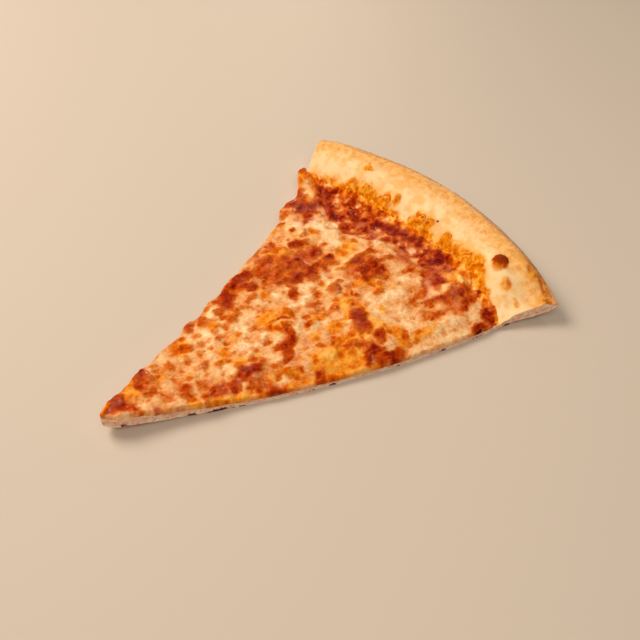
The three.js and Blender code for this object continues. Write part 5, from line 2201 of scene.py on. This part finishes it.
@dataclass(frozen=True)
class Studio:
    """A pale floor, soft light and the camera."""

    floor_half: float = 3.0
    surround: float = 0.12
    elevation: float = math.radians(46.31)
    azimuth: float = math.radians(-41.12)
    distance: float = 0.45
    target: tuple[float, float, float] = (0.0055, -0.0116, 0.0)
    focal_pixels: float = 898.6
    picture_pixels: float = 640.0
    sensor: float = 36.0
    nearest: float = 0.01
    lamps: tuple[Lamp, ...] = (
        Lamp("front_light", (-0.45, -0.62, 1.1), 1.0, 8.8), Lamp("key_light", (-0.25, 0.85, 0.9), 0.6, 14.8),
        glint_lamp("right_glint", (0.85, 0.15, 0.8), 3.2), glint_lamp("low_glint", (0.75, 0.86, 0.46), 2.4),
        glint_lamp("high_glint", (0.28, 0.33, 1.2), 3.2), glint_lamp("left_glint", (0.08, 0.9, 0.93), 3.2))

    def floor(self) -> None:
        """Lays the floor."""
        mesh = bpy.data.meshes.new("floor")
        half = self.floor_half
        places = [(-half, -half, 0), (half, -half, 0), (half, half, 0), (-half, half, 0)]
        mesh.from_pydata(places, [], [(0, 1, 2, 3)])
        mesh.materials.append(PaleFloor().make())
        floor = bpy.data.objects.new("floor", mesh)
        bpy.context.scene.collection.objects.link(floor)

    def light(self) -> None:
        """Lights the scene: an even surround, which doesn't mirror in the food, and the lamps."""
        world = bpy.data.worlds.new("surround")
        world.use_nodes = True
        background = world.node_tree.nodes["Background"]
        background.inputs["Color"].default_value = (1.0, 1.0, 1.0, 1.0)
        background.inputs["Strength"].default_value = self.surround
        world.cycles_visibility.glossy = False
        bpy.context.scene.world = world
        for lamp in self.lamps:
            lamp.light()

    def camera(self) -> None:
        """Places the camera on a line from its target, given by azimuth and elevation."""
        level = math.cos(self.elevation)
        back = Vector((math.sin(self.azimuth) * level, -math.cos(self.azimuth) * level,
                       math.sin(self.elevation)))
        data = bpy.data.cameras.new("camera")
        data.sensor_width = self.sensor
        data.lens = self.focal_pixels * self.sensor / self.picture_pixels
        data.clip_start = self.nearest
        camera = bpy.data.objects.new("camera", data)
        camera.location = Vector(self.target) + back * self.distance
        camera.rotation_euler = (-back).to_track_quat("-Z", "Y").to_euler()
        bpy.context.scene.collection.objects.link(camera)
        bpy.context.scene.camera = camera

    def build(self) -> None:
        """Builds the studio."""
        self.floor()
        self.light()
        self.camera()
        bpy.context.scene.view_settings.view_transform = "Standard"
        bpy.context.scene.view_settings.look = "None"


def main() -> None:
    """Builds the studio and the slice."""
    logging.basicConfig(level=logging.INFO, format="%(message)s")
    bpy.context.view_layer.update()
    Studio().build()
    form, topping = SliceForm(), Topping()
    crust = CrustLayer(form, topping, "baked_crust", "crust", "baked_dough")
    crust.settle(crust.build(), BakedDough().make())
    sauce = SauceLayer(form, topping, "sauce_coat", "sauce", "tomato_sauce", crust=crust)
    sauce.settle(sauce.build(), TomatoSauce().make())
    cheese = CheeseLayer(form, topping, "cheese_top", "cheese", "melted_cheese")
    cheese.settle(cheese.build(), MeltedCheese().make())


if __name__ == "__main__":
    main()
